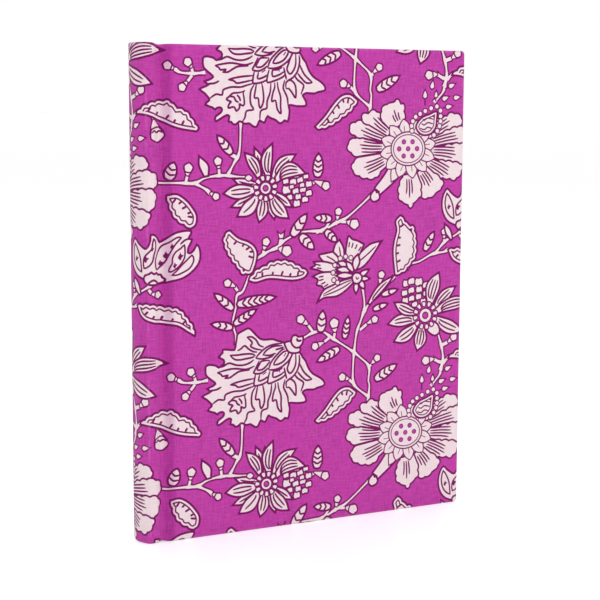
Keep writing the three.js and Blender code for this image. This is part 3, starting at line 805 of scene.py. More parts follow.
    def carnation(self) -> None:
        """The big ruffled flower with rows of torn petals."""
        self.shift = (0.2, 125.5)
        self.blob(loop([
            (38.9, 84.4), (41.6, 85.7), (43.5, 86.4), (44.9, 85.8), (47, 83.6), (49.1, 81.7), (51.2, 81.1),
            (54.9, 81.1), (57, 80.3), (60.7, 79), (64, 76), (67.8, 74.4), (69.1, 72.3), (70.5, 70.7),
            (72, 67.3), (74.1, 64.8), (76.6, 63.4), (78.7, 61.9), (79.7, 60.3), (79.1, 59.2), (76.2, 58.6),
            (74.5, 58), (71.2, 58.2), (69.9, 57.8), (69.1, 57.1), (70.3, 55.3), (70.8, 53.6), (69.9, 52.8),
            (66.2, 52.8), (63.7, 53.2), (62.6, 52.8), (63, 51.1), (62.8, 48.6), (62.2, 46.5), (60.8, 46.9),
            (60.1, 46.3), (58.7, 45.7), (57.4, 46.5), (56.6, 47.1), (54.1, 48), (53, 48.6), (52.2, 47.3),
            (51.6, 46.1), (50.5, 46.3), (49.5, 46.9), (48.9, 46.1), (48, 44.4), (46.6, 44.4), (44.7, 45.7),
            (42.8, 45.5), (41.6, 46.1), (40.3, 46.5), (38.7, 45.3), (37.4, 45.5), (36.6, 46.3),
            (35.5, 46.5), (35.8, 48.6), (34.5, 49), (32.6, 48), (30.3, 46.7), (29.5, 47.1), (29.9, 48.6),
            (32, 50), (32.6, 51.3), (31.8, 52.1), (30.3, 51.9), (29.5, 51.3), (28.3, 52.1), (25.3, 53.2),
            (26.6, 54.6), (27, 55.5), (24.9, 57.8), (22.8, 59.2), (24.1, 60), (26.6, 61.1), (25.0, 62.4),
            (27, 63.1), (28.7, 64.2), (27.8, 65.3), (26.2, 66.5), (24.5, 68.2), (24.3, 71.1), (24.9, 72.1),
            (26.6, 72.3), (29.1, 71.7), (30.3, 70.9), (32.6, 72.3), (32.4, 74), (30.8, 74.8), (30.3, 75.5),
            (32, 76.9), (32.2, 78.2), (34.9, 78), (37.4, 77.8), (38, 80.3), (38.5, 82.8)
        ], 2))
        for line in (
            [(38.7, 77.3), (40.3, 78), (42, 79.2), (43.7, 77.8), (45.8, 76.5), (47.8, 76.1)],
            [(50.8, 78), (48.7, 79), (47.4, 81.1), (45.3, 82.7), (43, 82.8)],
            [(43, 82.8), (44.7, 81.3), (45.5, 80), (44.7, 78.8), (47, 77.5), (49.9, 76.9)],
            [(47, 74.6), (45.3, 75.5), (42, 75.7), (38.7, 75.5), (35.3, 75.7)],
            [(35.3, 75.7), (37.4, 73.8), (39.9, 73.4), (42.8, 73.7), (45.3, 74), (46.6, 74.4)],
            [(30.3, 70.9), (32.4, 71.3), (34.9, 72.4), (38.3, 71.3), (41.6, 71.1), (44.5, 71.9),
             (46.2, 73)], [(47, 73.6), (49.1, 75.7), (52, 77.8), (55.3, 78.8), (59.4, 79)],
            [(50.3, 74.4), (52, 76.5), (55.3, 78), (59.5, 78)], [(56.2, 76.5), (58.3, 76.9), (60.2, 77.4)],
            [(47, 73.6), (50.3, 73), (54.1, 73.6), (55.5, 74.6)], [(50.8, 74.6), (53.7, 74.3), (56.4, 75)],
            [(61.6, 75.6), (60, 75.3), (57.8, 73.6), (56, 71.5), (55.3, 70)],
            [(55.3, 70), (57.8, 70.3), (60.3, 71.5), (62, 73.6), (62.4, 75)], [(61.2, 74.8), (60.2, 73.4)],
            [(60.6, 76.6), (59.1, 76.1), (56.2, 73.6), (54.1, 71.1), (53, 68.2)],
            [(53, 68.2), (55.3, 68), (58.3, 68.6), (61.2, 70.3), (63.2, 72.2), (64.3, 74.6)],
            [(64.6, 74.4), (63.4, 72.4), (62.6, 70.3), (61.8, 67.8), (63, 65.9), (64.5, 66.9),
             (65.8, 69.8), (65.8, 74.2)], [(60.3, 68.6), (61, 65.7), (61.6, 63.6)],
            [(67.4, 73.6), (67.6, 70.7), (66.6, 66.9), (64.5, 64.4), (62, 63.2)],
            [(53.7, 72.2), (49.9, 72.1), (48.7, 70.7), (47.8, 68.6), (50.3, 68.6), (52.4, 70.3),
             (53.7, 71.9)], [(48.7, 72.4), (47, 69), (46.2, 67.3), (49.1, 66.9), (51.6, 68), (52.8, 69)],
            [(59.7, 68.6), (57.4, 67.5), (55.3, 67.3), (55.3, 64.8), (58.3, 65.5), (60.6, 66.9)],
            [(57.8, 67.8), (58.4, 66.8)],
            [(53.7, 67.6), (52.8, 64.4), (53, 62.3), (56.6, 63.2), (59.5, 64.4), (61, 65.6)],
            [(48.9, 66.4), (48.5, 63.8), (51.2, 64.4), (52.6, 65.3)], [(50.3, 66.3), (52, 67.3)],
            [(47, 66.6), (46.4, 64), (46.6, 61.9), (50.3, 62.3), (52.6, 63.4)],
            [(46.6, 70.3), (42.8, 69.2), (37.4, 69.9), (33.7, 69.6), (29.5, 68.8)],
            [(29.5, 68.8), (31.2, 68), (32, 67.1), (34.5, 67.3), (32.8, 66.1)],
            [(32.8, 66.1), (35.3, 66.3), (37.4, 67.5), (39.9, 68.6), (44.4, 68.8)],
            [(35.3, 63.2), (38.3, 64), (42, 64.6), (46.4, 65)],
            [(35.3, 63.2), (37.8, 62.8), (39.1, 61.9), (42, 62.3), (46.2, 63.2)],
            [(25.9, 61.5), (29.1, 61.7), (31.4, 62.7)],
            [(27, 55.5), (28.7, 56.7), (30.3, 57.4), (32.6, 57.1), (33, 58.8), (34.1, 59.6), (37, 60.3),
             (40.8, 60.3), (43.7, 61.1), (46.8, 61.9)],
            [(42.8, 59), (42, 58), (42.4, 55.7), (42.4, 53.2), (41.2, 53), (40.3, 53.6), (40.3, 51.9),
             (38.9, 50.7), (38.3, 51.9), (37.4, 52.3), (35.3, 51.9), (35.8, 53.6), (36.6, 54.4),
             (34.5, 55.3), (35.8, 56.5), (37.4, 57.8), (39.5, 58), (41.6, 58.4), (42.8, 59)],
            [(35.8, 56.5), (37.8, 56.3), (38.7, 54.8), (40, 54.2)],
            [(39.2, 57.2), (40.3, 56), (40.8, 54.6)],
            [(41.6, 46.3), (42.8, 48.2), (43.5, 50.7), (46.6, 51.3), (45.5, 53.2), (45.1, 55.7),
             (45.5, 59), (47, 61.5)],
            [(47.9, 61.6), (47.6, 59.8), (47, 56.1), (48.7, 55.9), (49.1, 53.2), (49.7, 51.9),
             (50.8, 53.6), (51.2, 56.1), (50.8, 59.8), (50.3, 61.9)],
            [(49.5, 47.3), (49.7, 50.3), (50.8, 51.3), (52.6, 51.9), (52.8, 54.8), (54.1, 58.2),
             (54.5, 62)],
            [(56.2, 62.3), (56.2, 60.3), (55.3, 57.8), (54.9, 54.6), (56.6, 55), (57.4, 51.5),
             (59.1, 49.6), (58.9, 52.8), (58.9, 56.5), (57.8, 59.8), (57.4, 62.6)],
            [(62.4, 52.8), (62, 56.1), (60.8, 58.6), (60.1, 60.3), (60.8, 63.4)],
            [(61.4, 59.8), (61.4, 62.3), (63.3, 63.4), (65.3, 61.9), (66, 59.4), (65.8, 56.1),
             (64.5, 57.8), (62.8, 59.8), (61.4, 59.8)],
            [(68.3, 57.6), (69.5, 60.7), (69.1, 61.9), (66.6, 63.6), (65.3, 65.3)],
            [(67.6, 69.8), (69.9, 65.7), (73.7, 62.5)],
            [(73.7, 62.5), (70.8, 62.3), (68.3, 64.4), (66.8, 66.2)],
        ):
            self.stroke(line, self.fold, 3)
        self.blob(loop([(60.5, 79), (61.2, 76.9), (62.6, 75), (65.3, 74.4), (67.6, 74.8), (67.8, 76.5),
                        (65.3, 77.6), (63.7, 79.4), (62, 79.6)], 3))
        self.blob(loop([(64.1, 81.5), (65.8, 82.1), (67, 81.3), (69.1, 81.3), (69.3, 79.8), (68.9, 78.2),
                        (67.4, 76.8), (65.3, 76.9), (63.7, 79)], 3))
        self.stroke([(66.2, 80.7), (66.8, 79.6), (68.6, 79.6)])
        self.shift = (0.0, 0.0)

    def rosette(self) -> None:
        """The big round flower with a dotted eye."""
        centre = np.array([120.6, 160.2])
        rays = (
            (4, [(107, 150.6), (104, 147.9), (98, 148.3), (93.5, 151), (93.6, 154.6), (97, 157)]),
            (4, [(96.5, 157.2), (93.6, 158), (91.0, 160.5), (91.6, 163.4), (95.1, 165), (99, 164.6)]),
            (3, [(98, 165), (93.8, 166.2), (91.6, 168.6), (93, 171), (97.2, 172), (102, 170)]),
            (3, [(101, 170.4), (97.6, 172.6), (98.2, 174.8), (101, 175.4), (103.4, 176.6), (106, 175.2),
                 (108.6, 174)]),
            (3, [(107.4, 172), (107.2, 176.8), (110.1, 179.3), (112.4, 179.4), (114.7, 181.2),
                 (116.4, 179.4), (118, 178.9), (118.6, 172)]),
            (4, [(128, 170), (137.2, 173.6), (140, 174.2), (142.2, 175.4), (145.9, 174.8), (148, 172.7),
                 (146.6, 169.4)]),
            (4, [(138, 167), (146.5, 169.6), (151.7, 167.6), (151.8, 164), (149, 162), (139, 161)]),
            (4, [(139, 161.4), (148, 162.2), (151.2, 160.4), (150.9, 156.6), (147.4, 153), (137.5, 155)]),
            (4, [(136, 155), (147.2, 153.4), (148.2, 150.2), (145, 146.6), (141.8, 147.1), (136.4, 147.6),
                 (131, 149)]),
            (4, [(134, 149.6), (138.4, 145.8), (137.8, 142.8), (135.8, 141.8), (134.7, 140.4),
                 (130.1, 138.6), (126.4, 141), (125, 148)]),
            (3, [(127, 146), (127.2, 139.8), (124.6, 137.8), (122.2, 134.8), (120.1, 136.7),
                 (116.8, 138.3), (116.2, 143.4), (118, 148)]),
        )
        self.blob(cornered([(117.6, 149.4), (112.6, 145), (106.6, 140.4)], [(106.6, 140.4), (104, 143.6)],
                           [(104, 143.6), (108.4, 148.6), (111.4, 153)], [(111.4, 153), (117.6, 149.4)]))
        self.blob(cornered([(112.4, 153), (112.3, 146), (117.4, 149.2)], [(117.4, 149.2), (112.4, 153)],
                           steps=2), self.hair)
        self.blob(loop([(104.6, 143), (102.4, 141), (102.2, 139), (103.8, 137.7), (106.2, 138.6),
                        (106.6, 140.6)]))
        self.stroke([(104.4, 143), (105.2, 141.6), (106.2, 142.2), (106.4, 140.2)], self.light)
        for count, rim in rays:
            edge = np.asarray(rim)
            first, last = (centre + unit(edge[k] - centre) * self.ray_foot for k in (0, -1))
            foot = [rim[-1], tuple(last), tuple(first), rim[0]]
            ruffle = [tuple(p) for p in scalloped(curve(rim, 3), *self.ray_lobes)]
            self.blob(cornered(ruffle, foot[:2], foot[1:3], foot[2:], steps=1), self.broad)
            way = unit(edge.mean(axis=0) - centre)
            aside = left_of(way)
            depth = ((edge - centre) @ way).max()
            for k in range(count):
                off = (k - (count - 1) / 2) * self.stripe_pitch
                foot_at = centre + way * self.stripe_foot + aside * off * 0.85
                tip_at = centre + way * (depth * 0.8 - 0.7 * abs(off) + 0.8 * (k % 2)) + aside * off * 1.15
                self.stroke([tuple(foot_at), tuple((foot_at + tip_at) / 2 + aside * 0.2), tuple(tip_at)],
                            self.ray_line)
        for k in range(12):
            way = ray(2 * math.pi * (k + 0.35) / 12)
            base, tip = centre + way * (8.2, 7.0), centre + way * (14.2, 13.0)
            frame = Frame.between(tuple(base), tuple(tip))
            sides = [(-0.2, 2.6), (0.35, 2.75), (0.75, 1.7), (1.0, 0.0)]
            other = mirrored(sides)
            self.blob(cornered(frame.at(sides), frame.at(other), frame.at([other[-1], sides[0]]), steps=2),
                      self.hair)
            self.stroke(frame.at([(0.1, 0.3), (0.5, 0.1)]), self.hair)
        round_about = ray(np.linspace(0, 2 * np.pi, 28, endpoint=False))
        for grow, ink in ((0.0, Ink.DARK), (-0.62, Ink.CREAM), (-1.3, Ink.DARK), (-1.75, Ink.CREAM)):
            self.lay(centre + round_about * (8.9 + grow, 7.6 + grow), ink)
        for dx, dz in ((0, 0), (4.5, 0), (-4.5, 0), (2.2, 3), (-2.2, 3), (2.2, -3.1), (-2.2, -3.1)):
            self.dot((centre[0] + dx, centre[1] + dz), 1.15, Ink.DARK, 12)
            self.dot((centre[0] + dx, centre[1] + dz), 0.8, Ink.GROUND, 10)

    def paisley(self) -> None:
        """The beaded drop beside the rosette."""
        drop = loop([(124.5, 170.2), (125.6, 167.4), (128.4, 166), (132, 166.6), (134.4, 169.2),
                     (134.9, 172.3), (134.9, 176.2), (131, 175), (127.2, 173.5)])
        self.blob(drop)
        self.lay(grown(drop, -1.1), Ink.DARK)
        self.lay(grown(drop, -1.6), Ink.CREAM)
        for rise in (0.0, 2.0, 4.0):
            self.stroke([(126.6 + rise * 0.3, 169.0 + rise), (128.6, 168.4 + rise), (130.4, 169.4 + rise),
                         (132.8 + rise * 0.2, 168.8 + rise)], self.hair)
        for at in ((122.4, 167.9), (122.2, 170.0), (122.8, 172.0), (124.2, 173.9), (126.4, 175.2),
                   (129, 176.4), (132, 177.6), (134.9, 178.4), (136.8, 176.6), (136.9, 174.2),
                   (136.9, 172.0), (136.4, 169.9), (135.3, 167.8), (133.6, 166)):
            self.dot(at, 1.4, Ink.DARK)
            self.dot(at, 0.92, Ink.CREAM, 8)

    def pineapples(self) -> None:
        """The scaled cones behind the daisies."""
        for cells in (
            ((62, 143.8, 1.9), (63.4, 140.6, 1.4), (66.8, 138, 1.6), (70.6, 139.6, 1.5),
             (66.2, 143.2, 1.5), (65, 147, 1.6), (68.3, 147.8, 1.5), (69.6, 143.8, 1.5),
             (67.4, 140.8, 1.4), (72.4, 142.2, 1.5), (72.4, 146, 1.5), (71, 149.2, 1.3),
             (61.6, 147.4, 1.4), (69.2, 145.6, 1.2), (64.4, 145, 1.1), (66.6, 149.6, 1.2)),
            ((120.6, 101.6, 1.7), (123.2, 102.4, 1.7), (127, 102, 1.9), (130.6, 100.4, 1.6),
             (119.8, 97.4, 1.5), (123.2, 98.4, 1.6), (127.2, 98.6, 1.6), (130.8, 96.8, 1.5),
             (120.2, 94, 1.6), (123.4, 94.8, 1.5), (127, 95.4, 1.5), (125, 92, 1.5), (129.4, 93.2, 1.4)),
        ):
            for k, (x, z, r) in enumerate(cells):
                lean = 0.2 * (-1) ** k
                cell = [(-1, -0.3), (-0.6, -0.95), (0.1 + lean, -0.75), (0.85, -0.7), (0.95, 0.2),
                        (0.6, 0.9), (lean - 0.2, 0.7), (-0.75, 0.8)]
                size = self.cell_full * r
                self.blob(loop([(x + size * a, z + size * b) for a, b in cell], 2), self.light)

    def daisies(self) -> None:
        """Two flowers of narrow striped petals round a beaded eye."""
        for base, tip, width, bend, stripes in (
            ((50.6, 149.5), (47.2, 161.4), 3.4, -0.04, 1), ((47.4, 146.6), (37.6, 148.6), 3.2, 0.05, 1),
            ((53.4, 140), (56.4, 131.6), 3.6, 0.05, 1), ((47.2, 142), (36.6, 137.2), 3.4, 0.04, 1),
            ((57, 142), (64.6, 136.4), 3.4, 0.0, 1), ((48.6, 150.5), (42.8, 159.2), 4.2, -0.08, 2),
            ((52.2, 150), (51.6, 160.6), 4.4, -0.05, 1), ((54, 150), (55.4, 163), 4.4, 0.12, 2),
            ((56.5, 149.6), (66.2, 158.4), 4.6, 0.1, 2), ((58, 148.6), (71, 150.2), 5.6, 0.22, 3),
            ((46, 143.8), (33.2, 142.8), 5.2, 0.0, 2), ((47.8, 140.8), (39.4, 133.2), 5.0, 0.08, 1),
            ((51, 139.8), (49.3, 130.6), 4.6, 0.05, 2), ((55.6, 140.4), (63, 131.8), 5.2, -0.08, 2),
            ((133.4, 93.5), (137.4, 105.6), 6.0, 0.06, 3), ((137, 91), (146.2, 99), 4.4, 0.05, 2),
            ((137.4, 88.6), (155.8, 91.6), 5.2, 0.08, 3), ((137, 84.8), (150.6, 78.4), 5.4, -0.05, 2),
            ((128.2, 80.6), (126.6, 71.2), 5.5, 0.05, 3), ((124.7, 81.4), (114.6, 76), 5.2, 0.06, 2),
            ((124.5, 84.8), (111.4, 84.0), 4.8, -0.05, 2), ((124.9, 88.5), (114.6, 93.4), 4.4, 0.05, 2),
        ):
            eye = np.array((52.3, 144.6) if base[0] < 90 else (130.6, 86.8))
            root = np.asarray(base) + (eye - base) * self.petal_sunk
            self.petal(tuple(root), tip, width * self.petal_full, bend, stripes)
        self.blob(loop([(44.6, 150.4), (42.9, 149), (44.6, 147.6), (46.4, 149)], 3), self.fine)
        bract = [(131.2, 83.4), (132, 79.6), (135.6, 77.4), (138.2, 79), (137, 82.6), (133.6, 84)]
        self.blob(loop(bract, 3))
        for centre, ring, beads, count in (((52.3, 144.6), 2.25, 4.15, 11), ((130.6, 86.8), 2.9, 5.0, 12)):
            self.dot(centre, beads + 0.9, Ink.GROUND, 24)
            for k in range(count):
                way = ray(2 * math.pi * (k + 0.3) / count)
                frame = Frame.between(tuple(centre + way * (beads - 1)),
                                      tuple(centre + way * (beads + 1.1)))
                side = [(0, 0.55), (0.5, 0.95), (1, 0.9)]
                self.blob(loop(frame.at([*side, (1.1, 0), *mirrored(side)]), 2), self.fine)
            eye = ring * self.eye_share
            for radius, ink in ((ring + 0.65, Ink.DARK), (ring, Ink.CREAM), (eye + 0.5, Ink.DARK),
                                (eye, Ink.GROUND)):
                self.dot(centre, radius, ink, 18)

    def fan_flower(self) -> None:
        """The side flower with fringed fans, long split petals and a small striped heart."""
        for edges, hatch in (
            ([[(92, 108), (99.6, 110.4), (108.2, 120.8)],
              [(108.2, 120.8), (101.6, 119.2), (95, 113.6), (90, 108)]], ()),
            ([[(91, 110), (90.2, 116), (90.8, 120.6), (91.6, 123.4), (93.4, 122), (96, 121.2),
               (99.2, 119.6)], [(99.2, 119.6), (97.2, 115.6), (94, 110)]],
             ((91.8, 119.6), (93.4, 119.2), (95.2, 118.6), (97, 117.6))),
            ([[(87, 110), (84.2, 115), (85, 119.8), (87.2, 122)],
              [(87.2, 122), (89.4, 117.6), (89.4, 110)]], ()),
            ([[(87, 110), (80.6, 112.2), (77.4, 115.6), (80.4, 116.4), (84, 117)],
              [(84, 117), (86.6, 114.4), (88.6, 110)]], ()),
            ([[(86, 108.4), (80, 108.4), (76.4, 109.6), (73.4, 110.4), (75.6, 111.6), (74.8, 113)],
              [(74.8, 113), (79.4, 113), (84, 111.8), (87, 109.6)]], ((77.2, 111.6), (77.6, 110.2))),
            ([[(87, 105), (84, 102), (80.4, 101), (78.8, 102.4), (76.4, 103.2), (76.8, 105.4),
               (74.4, 106.8)], [(74.4, 106.8), (78, 108.2), (82.6, 108.4), (87, 107.6)]],
             ((79.6, 103.8), (78.6, 105.2), (81, 102.8), (78.6, 106.6))),
            ([[(93.6, 105.4), (88.6, 104.4), (84, 102.6), (79.6, 100.6), (76.4, 95.4)],
              [(76.4, 95.4), (80, 97.4), (86, 97.8), (90.6, 100.2), (95, 104)]], ()),
        ):
            self.blob(cornered(*edges, [edges[1][-1], edges[0][0]]))
            for x, z in hatch:
                way = np.array([x, z]) - (90.0, 108.0)
                way *= 2.4 / np.linalg.norm(way)
                x, z = np.array([x, z]) + way * 0.55
                self.stroke([(x, z), (x - 0.5 * way[0] + 0.1, z - 0.5 * way[1]), (x - way[0], z - way[1])],
                            self.fine)
        for lift in (0.0, 1.7):
            self.stroke([(79.4, 98.2 + 0.4 * lift), (85, 99.8 + lift), (90, 101.8 + lift),
                         (93.2, 103.8 + 0.4 * lift)], self.hair)
        for a, b in (((94, 110.4), (105.2, 118.6)), ((87.6, 112), (87, 119)), ((85.6, 112.4), (81, 115.2))):
            self.stroke([a, ((a[0] + b[0]) / 2 + 0.4, (a[1] + b[1]) / 2), b], self.fine)
        for base, tip, width in (((94.6, 108.6), (96.2, 115.4), 3.4), ((91.4, 110.6), (86.2, 112.4), 2.6),
                                 ((93, 108.6), (85.6, 109.4), 2.7), ((93.6, 106.4), (85.6, 106.6), 2.7),
                                 ((94, 108), (90.6, 112.6), 2.6)):
            self.petal(base, tip, width, 0.0, 0)
        for x, z, r in ((84.2, 108, 0.85), (85, 111.2, 0.85), (87.6, 114, 0.9), (90.2, 114.6, 0.85),
                        (92.8, 114, 0.85), (84.6, 104.8, 0.85), (86.4, 103.6, 0.9)):
            self.dot((x, z), r + 0.5, Ink.DARK)
            self.dot((x, z), r, Ink.CREAM, 8)
        for base, tip, width in (((96, 105.4), (101.8, 108.6), 2.4), ((96.4, 104.8), (102.2, 104.6), 2.2),
                                 ((95.6, 104), (95.4, 98.4), 2.4), ((97, 104.4), (99.6, 100.2), 2.6)):
            self.petal(base, tip, width, 0.0, 0)
        self.blob(loop([(93.4, 105.4), (94.8, 107.4), (97.4, 107), (98.4, 104.8), (96.8, 102.8),
                        (94.4, 103)], 2))
        self.stroke([(95.2, 105.8), (96, 104.6), (96.8, 105.4)], self.faint)


@dataclass
class ClothForm:
    """Where the case cloth lies: the front half, from the middle of the spine to its turn-ins."""

    book: BookSizes = BOOK
    edge_radius: float = 0.6
    notch: float = 0.45
    notch_reach: float = 2.4
    rise_run: float = 3.0
    land_soft: float = 0.1
    level_reach: float = 0.4
    beside_board: float = 11.5
    back_steps: int = 7
    fillet_steps: int = 6
    groove_steps: int = 15
    edge_steps: int = 14
    fore_steps: int = 18
    corner_steps: int = 7

    def __post_init__(self) -> None:
        """Works out the lengths round the spine."""
        b = self.book
        inset = b.spine_radius - b.spine_corner_radius
        depth = b.half_thickness - b.spine_corner_radius
        self.fillet_angle = math.asin(depth / inset)
        self.fillet_x = b.arc_x - inset * math.cos(self.fillet_angle)
        self.fillet_depth = depth
        self.start = self.fillet_x - b.corner_x
        self.fillet_length = b.spine_corner_radius * (math.pi / 2 - self.fillet_angle)
        self.middle = self.start - self.fillet_length - b.spine_radius * self.fillet_angle
        self.far = b.fore_x - b.corner_x
        self.corner = b.board_corner + b.cloth + b.glue
        self.inner_corner = self.corner - self.edge_radius

    def plan(self, s: np.ndarray) -> tuple[np.ndarray, np.ndarray, np.ndarray, np.ndarray]:
        """The outer face seen from above, at each place along the cloth.

        Args:
            s: distance along the cloth from the front spine corner.

        Returns:
            X, Y and the inward direction's X and Y.
        """
        b = self.book
        flat_x = b.corner_x + np.maximum(s, self.start)
        x, y = flat_x.copy(), -(b.half_thickness - b.groove_dip(flat_x))
        inward_x, inward_y = np.zeros_like(s), np.ones_like(s)
        round_part = s < self.start
        run = np.maximum(self.start - s, 0)
        angle = math.pi / 2 - np.minimum(run, self.fillet_length) / b.spine_corner_radius
        on_back = run > self.fillet_length
        angle = np.where(on_back, self.fillet_angle - (run - self.fillet_length) / b.spine_radius, angle)
        radius = np.where(on_back, b.spine_radius, b.spine_corner_radius)
        centre_x = np.where(on_back, b.arc_x, self.fillet_x)
        centre_y = np.where(on_back, 0.0, self.fillet_depth)
        x = np.where(round_part, centre_x - radius * np.cos(angle), x)
        y = np.where(round_part, -(centre_y + radius * np.sin(angle)), y)
        inward_x = np.where(round_part, np.cos(angle), inward_x)
        inward_y = np.where(round_part, np.sin(angle), inward_y)
        return x, y, inward_x, inward_y

    def thickness(self, s: np.ndarray) -> np.ndarray:
        """From the cloth's outer face to the face of its turn-in, at each place.

        Args:
            s: distances along the cloth.

        Returns:
            The thickness at each.
        """
        b = self.book
        groove = b.groove_depth + 2 * b.cloth
        land = 2 * b.cloth + 2 * b.glue + b.stiffener
        places = [b.stiffener_land - self.land_soft, b.groove_centre - self.level_reach,
                  b.groove_centre + self.level_reach, b.board_spine_x - b.corner_x]
        levels = [land, groove, groove, b.wrap]
        x = b.corner_x + np.maximum(s, self.start)
        return np.maximum(np.interp(s, places, levels) - b.groove_dip(x), 2 * b.cloth)

    def ends(self, s: np.ndarray) -> tuple[np.ndarray, np.ndarray]:
        """Height of the tail and head of the case at each place.

        Args:
            s: distances along the cloth.

        Returns:
            The two heights at each.
        """
        b = self.book
        pulled = self.notch * np.exp(-(((s - b.groove_centre) / self.notch_reach) ** 2))
        rise = b.spine_head_rise * np.clip((b.groove_centre - s) / self.rise_run + 0.5, 0, 1)
        return pulled, b.case_height + rise - pulled

    def radius(self, s: np.ndarray) -> np.ndarray:
        """Radius of the folded edge at each place."""
        return np.minimum(self.edge_radius, self.thickness(s) / 2)

    def wrap_length(self, s: np.ndarray) -> np.ndarray:
        """Cloth taken up by going round an edge, at each place."""
        r = self.radius(s)
        return math.pi * r + self.thickness(s) - 2 * r

    def place(self, sheet: np.ndarray, off: float) -> np.ndarray:
        """Points in space of points on the cloth.

        Args:
            sheet: pairs of distance along the cloth and height on it.
            off: how far below the outer face.

        Returns:
            X, Y and Z of each.
        """
        s, t = sheet[:, 0].copy(), sheet[:, 1].copy()
        b, ri = self.book, self.inner_corner
        fore, centre = self.far - self.edge_radius, self.far - self.corner
        low, high = self.ends(s)
        r_here = self.radius(s)
        low, high = low + r_here, high - r_here
        out_s, out_t, p = np.zeros_like(s), np.zeros_like(s), np.full_like(s, -1.0)
        q_s, q_t = s.copy(), t.copy()
        for end, sign, limit in ((b.case_height - self.corner, 1.0, high), (self.corner, -1.0, low)):
            strip = (sign * (t - limit) > 0) & (s <= centre)
            q_t[strip], p[strip], out_t[strip] = limit[strip], (sign * (t - limit))[strip], sign
            fan = (s > centre) & (sign * (t - end) > 0)
            ds, dt = s - centre, t - end
            away = np.maximum(np.hypot(ds, dt), TINY)
            outside = fan & (away > ri)
            q_s[outside] = (centre + ds / away * ri)[outside]
            q_t[outside] = (end + dt / away * ri)[outside]
            p[outside] = (away - ri)[outside]
            out_s[outside], out_t[outside] = (ds / away)[outside], (dt / away)[outside]
        side = (s > fore) & (t <= b.case_height - self.corner) & (t >= self.corner)
        q_s[side], p[side], out_s[side] = fore, (s - fore)[side], 1.0
        r, thick = self.radius(q_s), self.thickness(q_s)
        q1 = math.pi * r / 2
        q2 = q1 + thick - 2 * r
        q3 = q2 + q1
        first, second = np.clip(p / r, 0, math.pi / 2), np.clip((p - q2) / r, 0, math.pi / 2)
        inner = r - off
        reach = np.where(p < q2, inner * np.sin(first), inner * np.cos(second)) - np.maximum(p - q3, 0)
        deep = np.where(p < q2, r - inner * np.cos(first), thick - r + inner * np.sin(second))
        deep = deep + np.where(p < q2, np.clip(p - q1, 0, None), 0)
        reach, deep = np.where(p < 0, 0, reach), np.where(p < 0, off, deep)
        x, y, in_x, in_y = self.plan(q_s + out_s * reach)
        return np.stack([x + in_x * deep, y + in_y * deep, q_t + out_t * reach], axis=1)

    def ring(self, phase: float) -> Outline:
        """A line that runs beside the edges, along the tail, the fore-edge and the head.

        Args:
            phase: 0 where the fold starts, 1 where it ends, 2 at the raw edge of the turn-in.

        Returns:
            Its points on the cloth.
        """
        b = self.book
        flat = np.linspace(self.beside_board + 0.5, self.far - self.corner, self.edge_steps)
        s = np.unique(np.round(np.concatenate([self.columns(), flat]), 4))
        low, high = self.ends(s)
        r, length = self.radius(s), self.wrap_length(s)
        turn_in = b.turn_in - r
        stage = [0, 0.5 * math.pi * r, length - 0.5 * math.pi * r, length, length + turn_in]
        p = sum(np.clip(phase_part(phase, k), 0, 1) * (stage[k + 1] - stage[k]) for k in range(4))
        board_r = self.edge_radius
        board_length = math.pi * board_r + b.wrap - 2 * board_r
        past = np.maximum(p[-1] - board_length + board_r - self.corner, 0)
        s_end = self.far - self.corner - past
        low_t, high_t = np.interp(s_end, s, low + r - p), np.interp(s_end, s, high - r + p)
        keep = s < s_end - NEAR
        tail = np.stack([s[keep], (low + r - p)[keep]], axis=1)
        head = np.stack([s[keep], (high - r + p)[keep]], axis=1)
        reach = self.inner_corner + min(p[-1], board_length + self.corner - board_r)
        turn = np.linspace(0, math.pi / 2, self.corner_steps)
        c = self.far - self.corner
        fan = np.stack([c + reach * np.sin(turn), self.corner - reach * np.cos(turn)], axis=1)
        fore_s = self.far - board_r + p[-1]
        heights = np.linspace(self.corner + past, b.case_height - self.corner - past, self.fore_steps)
        fore = np.stack([np.full_like(heights, fore_s), heights], axis=1)
        other = np.stack([fan[::-1, 0], b.case_height - fan[::-1, 1]], axis=1)
        parts = [tail, [(s_end, low_t)], fan[1:-1] if past < NEAR else fan, fore]
        parts += [other[1:-1] if past < NEAR else other, [(s_end, high_t)], head[::-1]]
        return np.vstack(parts)

    def columns(self) -> np.ndarray:
        """Places along the cloth where it bends about an upright line.

        Returns:
            Their distances along the cloth, rising.
        """
        b = self.book
        back = np.linspace(self.middle, self.start - self.fillet_length, self.back_steps)
        fillet = np.linspace(self.start - self.fillet_length, self.start, self.fillet_steps)
        low, high = b.groove_centre - b.groove_half_width, b.groove_centre + b.groove_half_width
        dip = np.linspace(low, high, self.groove_steps)
        return np.unique(np.round([*back, *fillet, *dip, b.board_spine_x - b.corner_x, self.beside_board],
                                  5))


def phase_part(phase: float, part: int) -> float:
    """How much of one stretch of a folded edge a phase has passed.

    Args:
        phase: 0 to 1 over the fold's three stretches, 1 to 2 over the turn-in.
        part: 0 to 2 for the fold's stretches, 3 for the turn-in.

    Returns:
        The share passed, which may lie outside 0 to 1.
    """
    return phase - 1 if part == 3 else phase * 3 - part


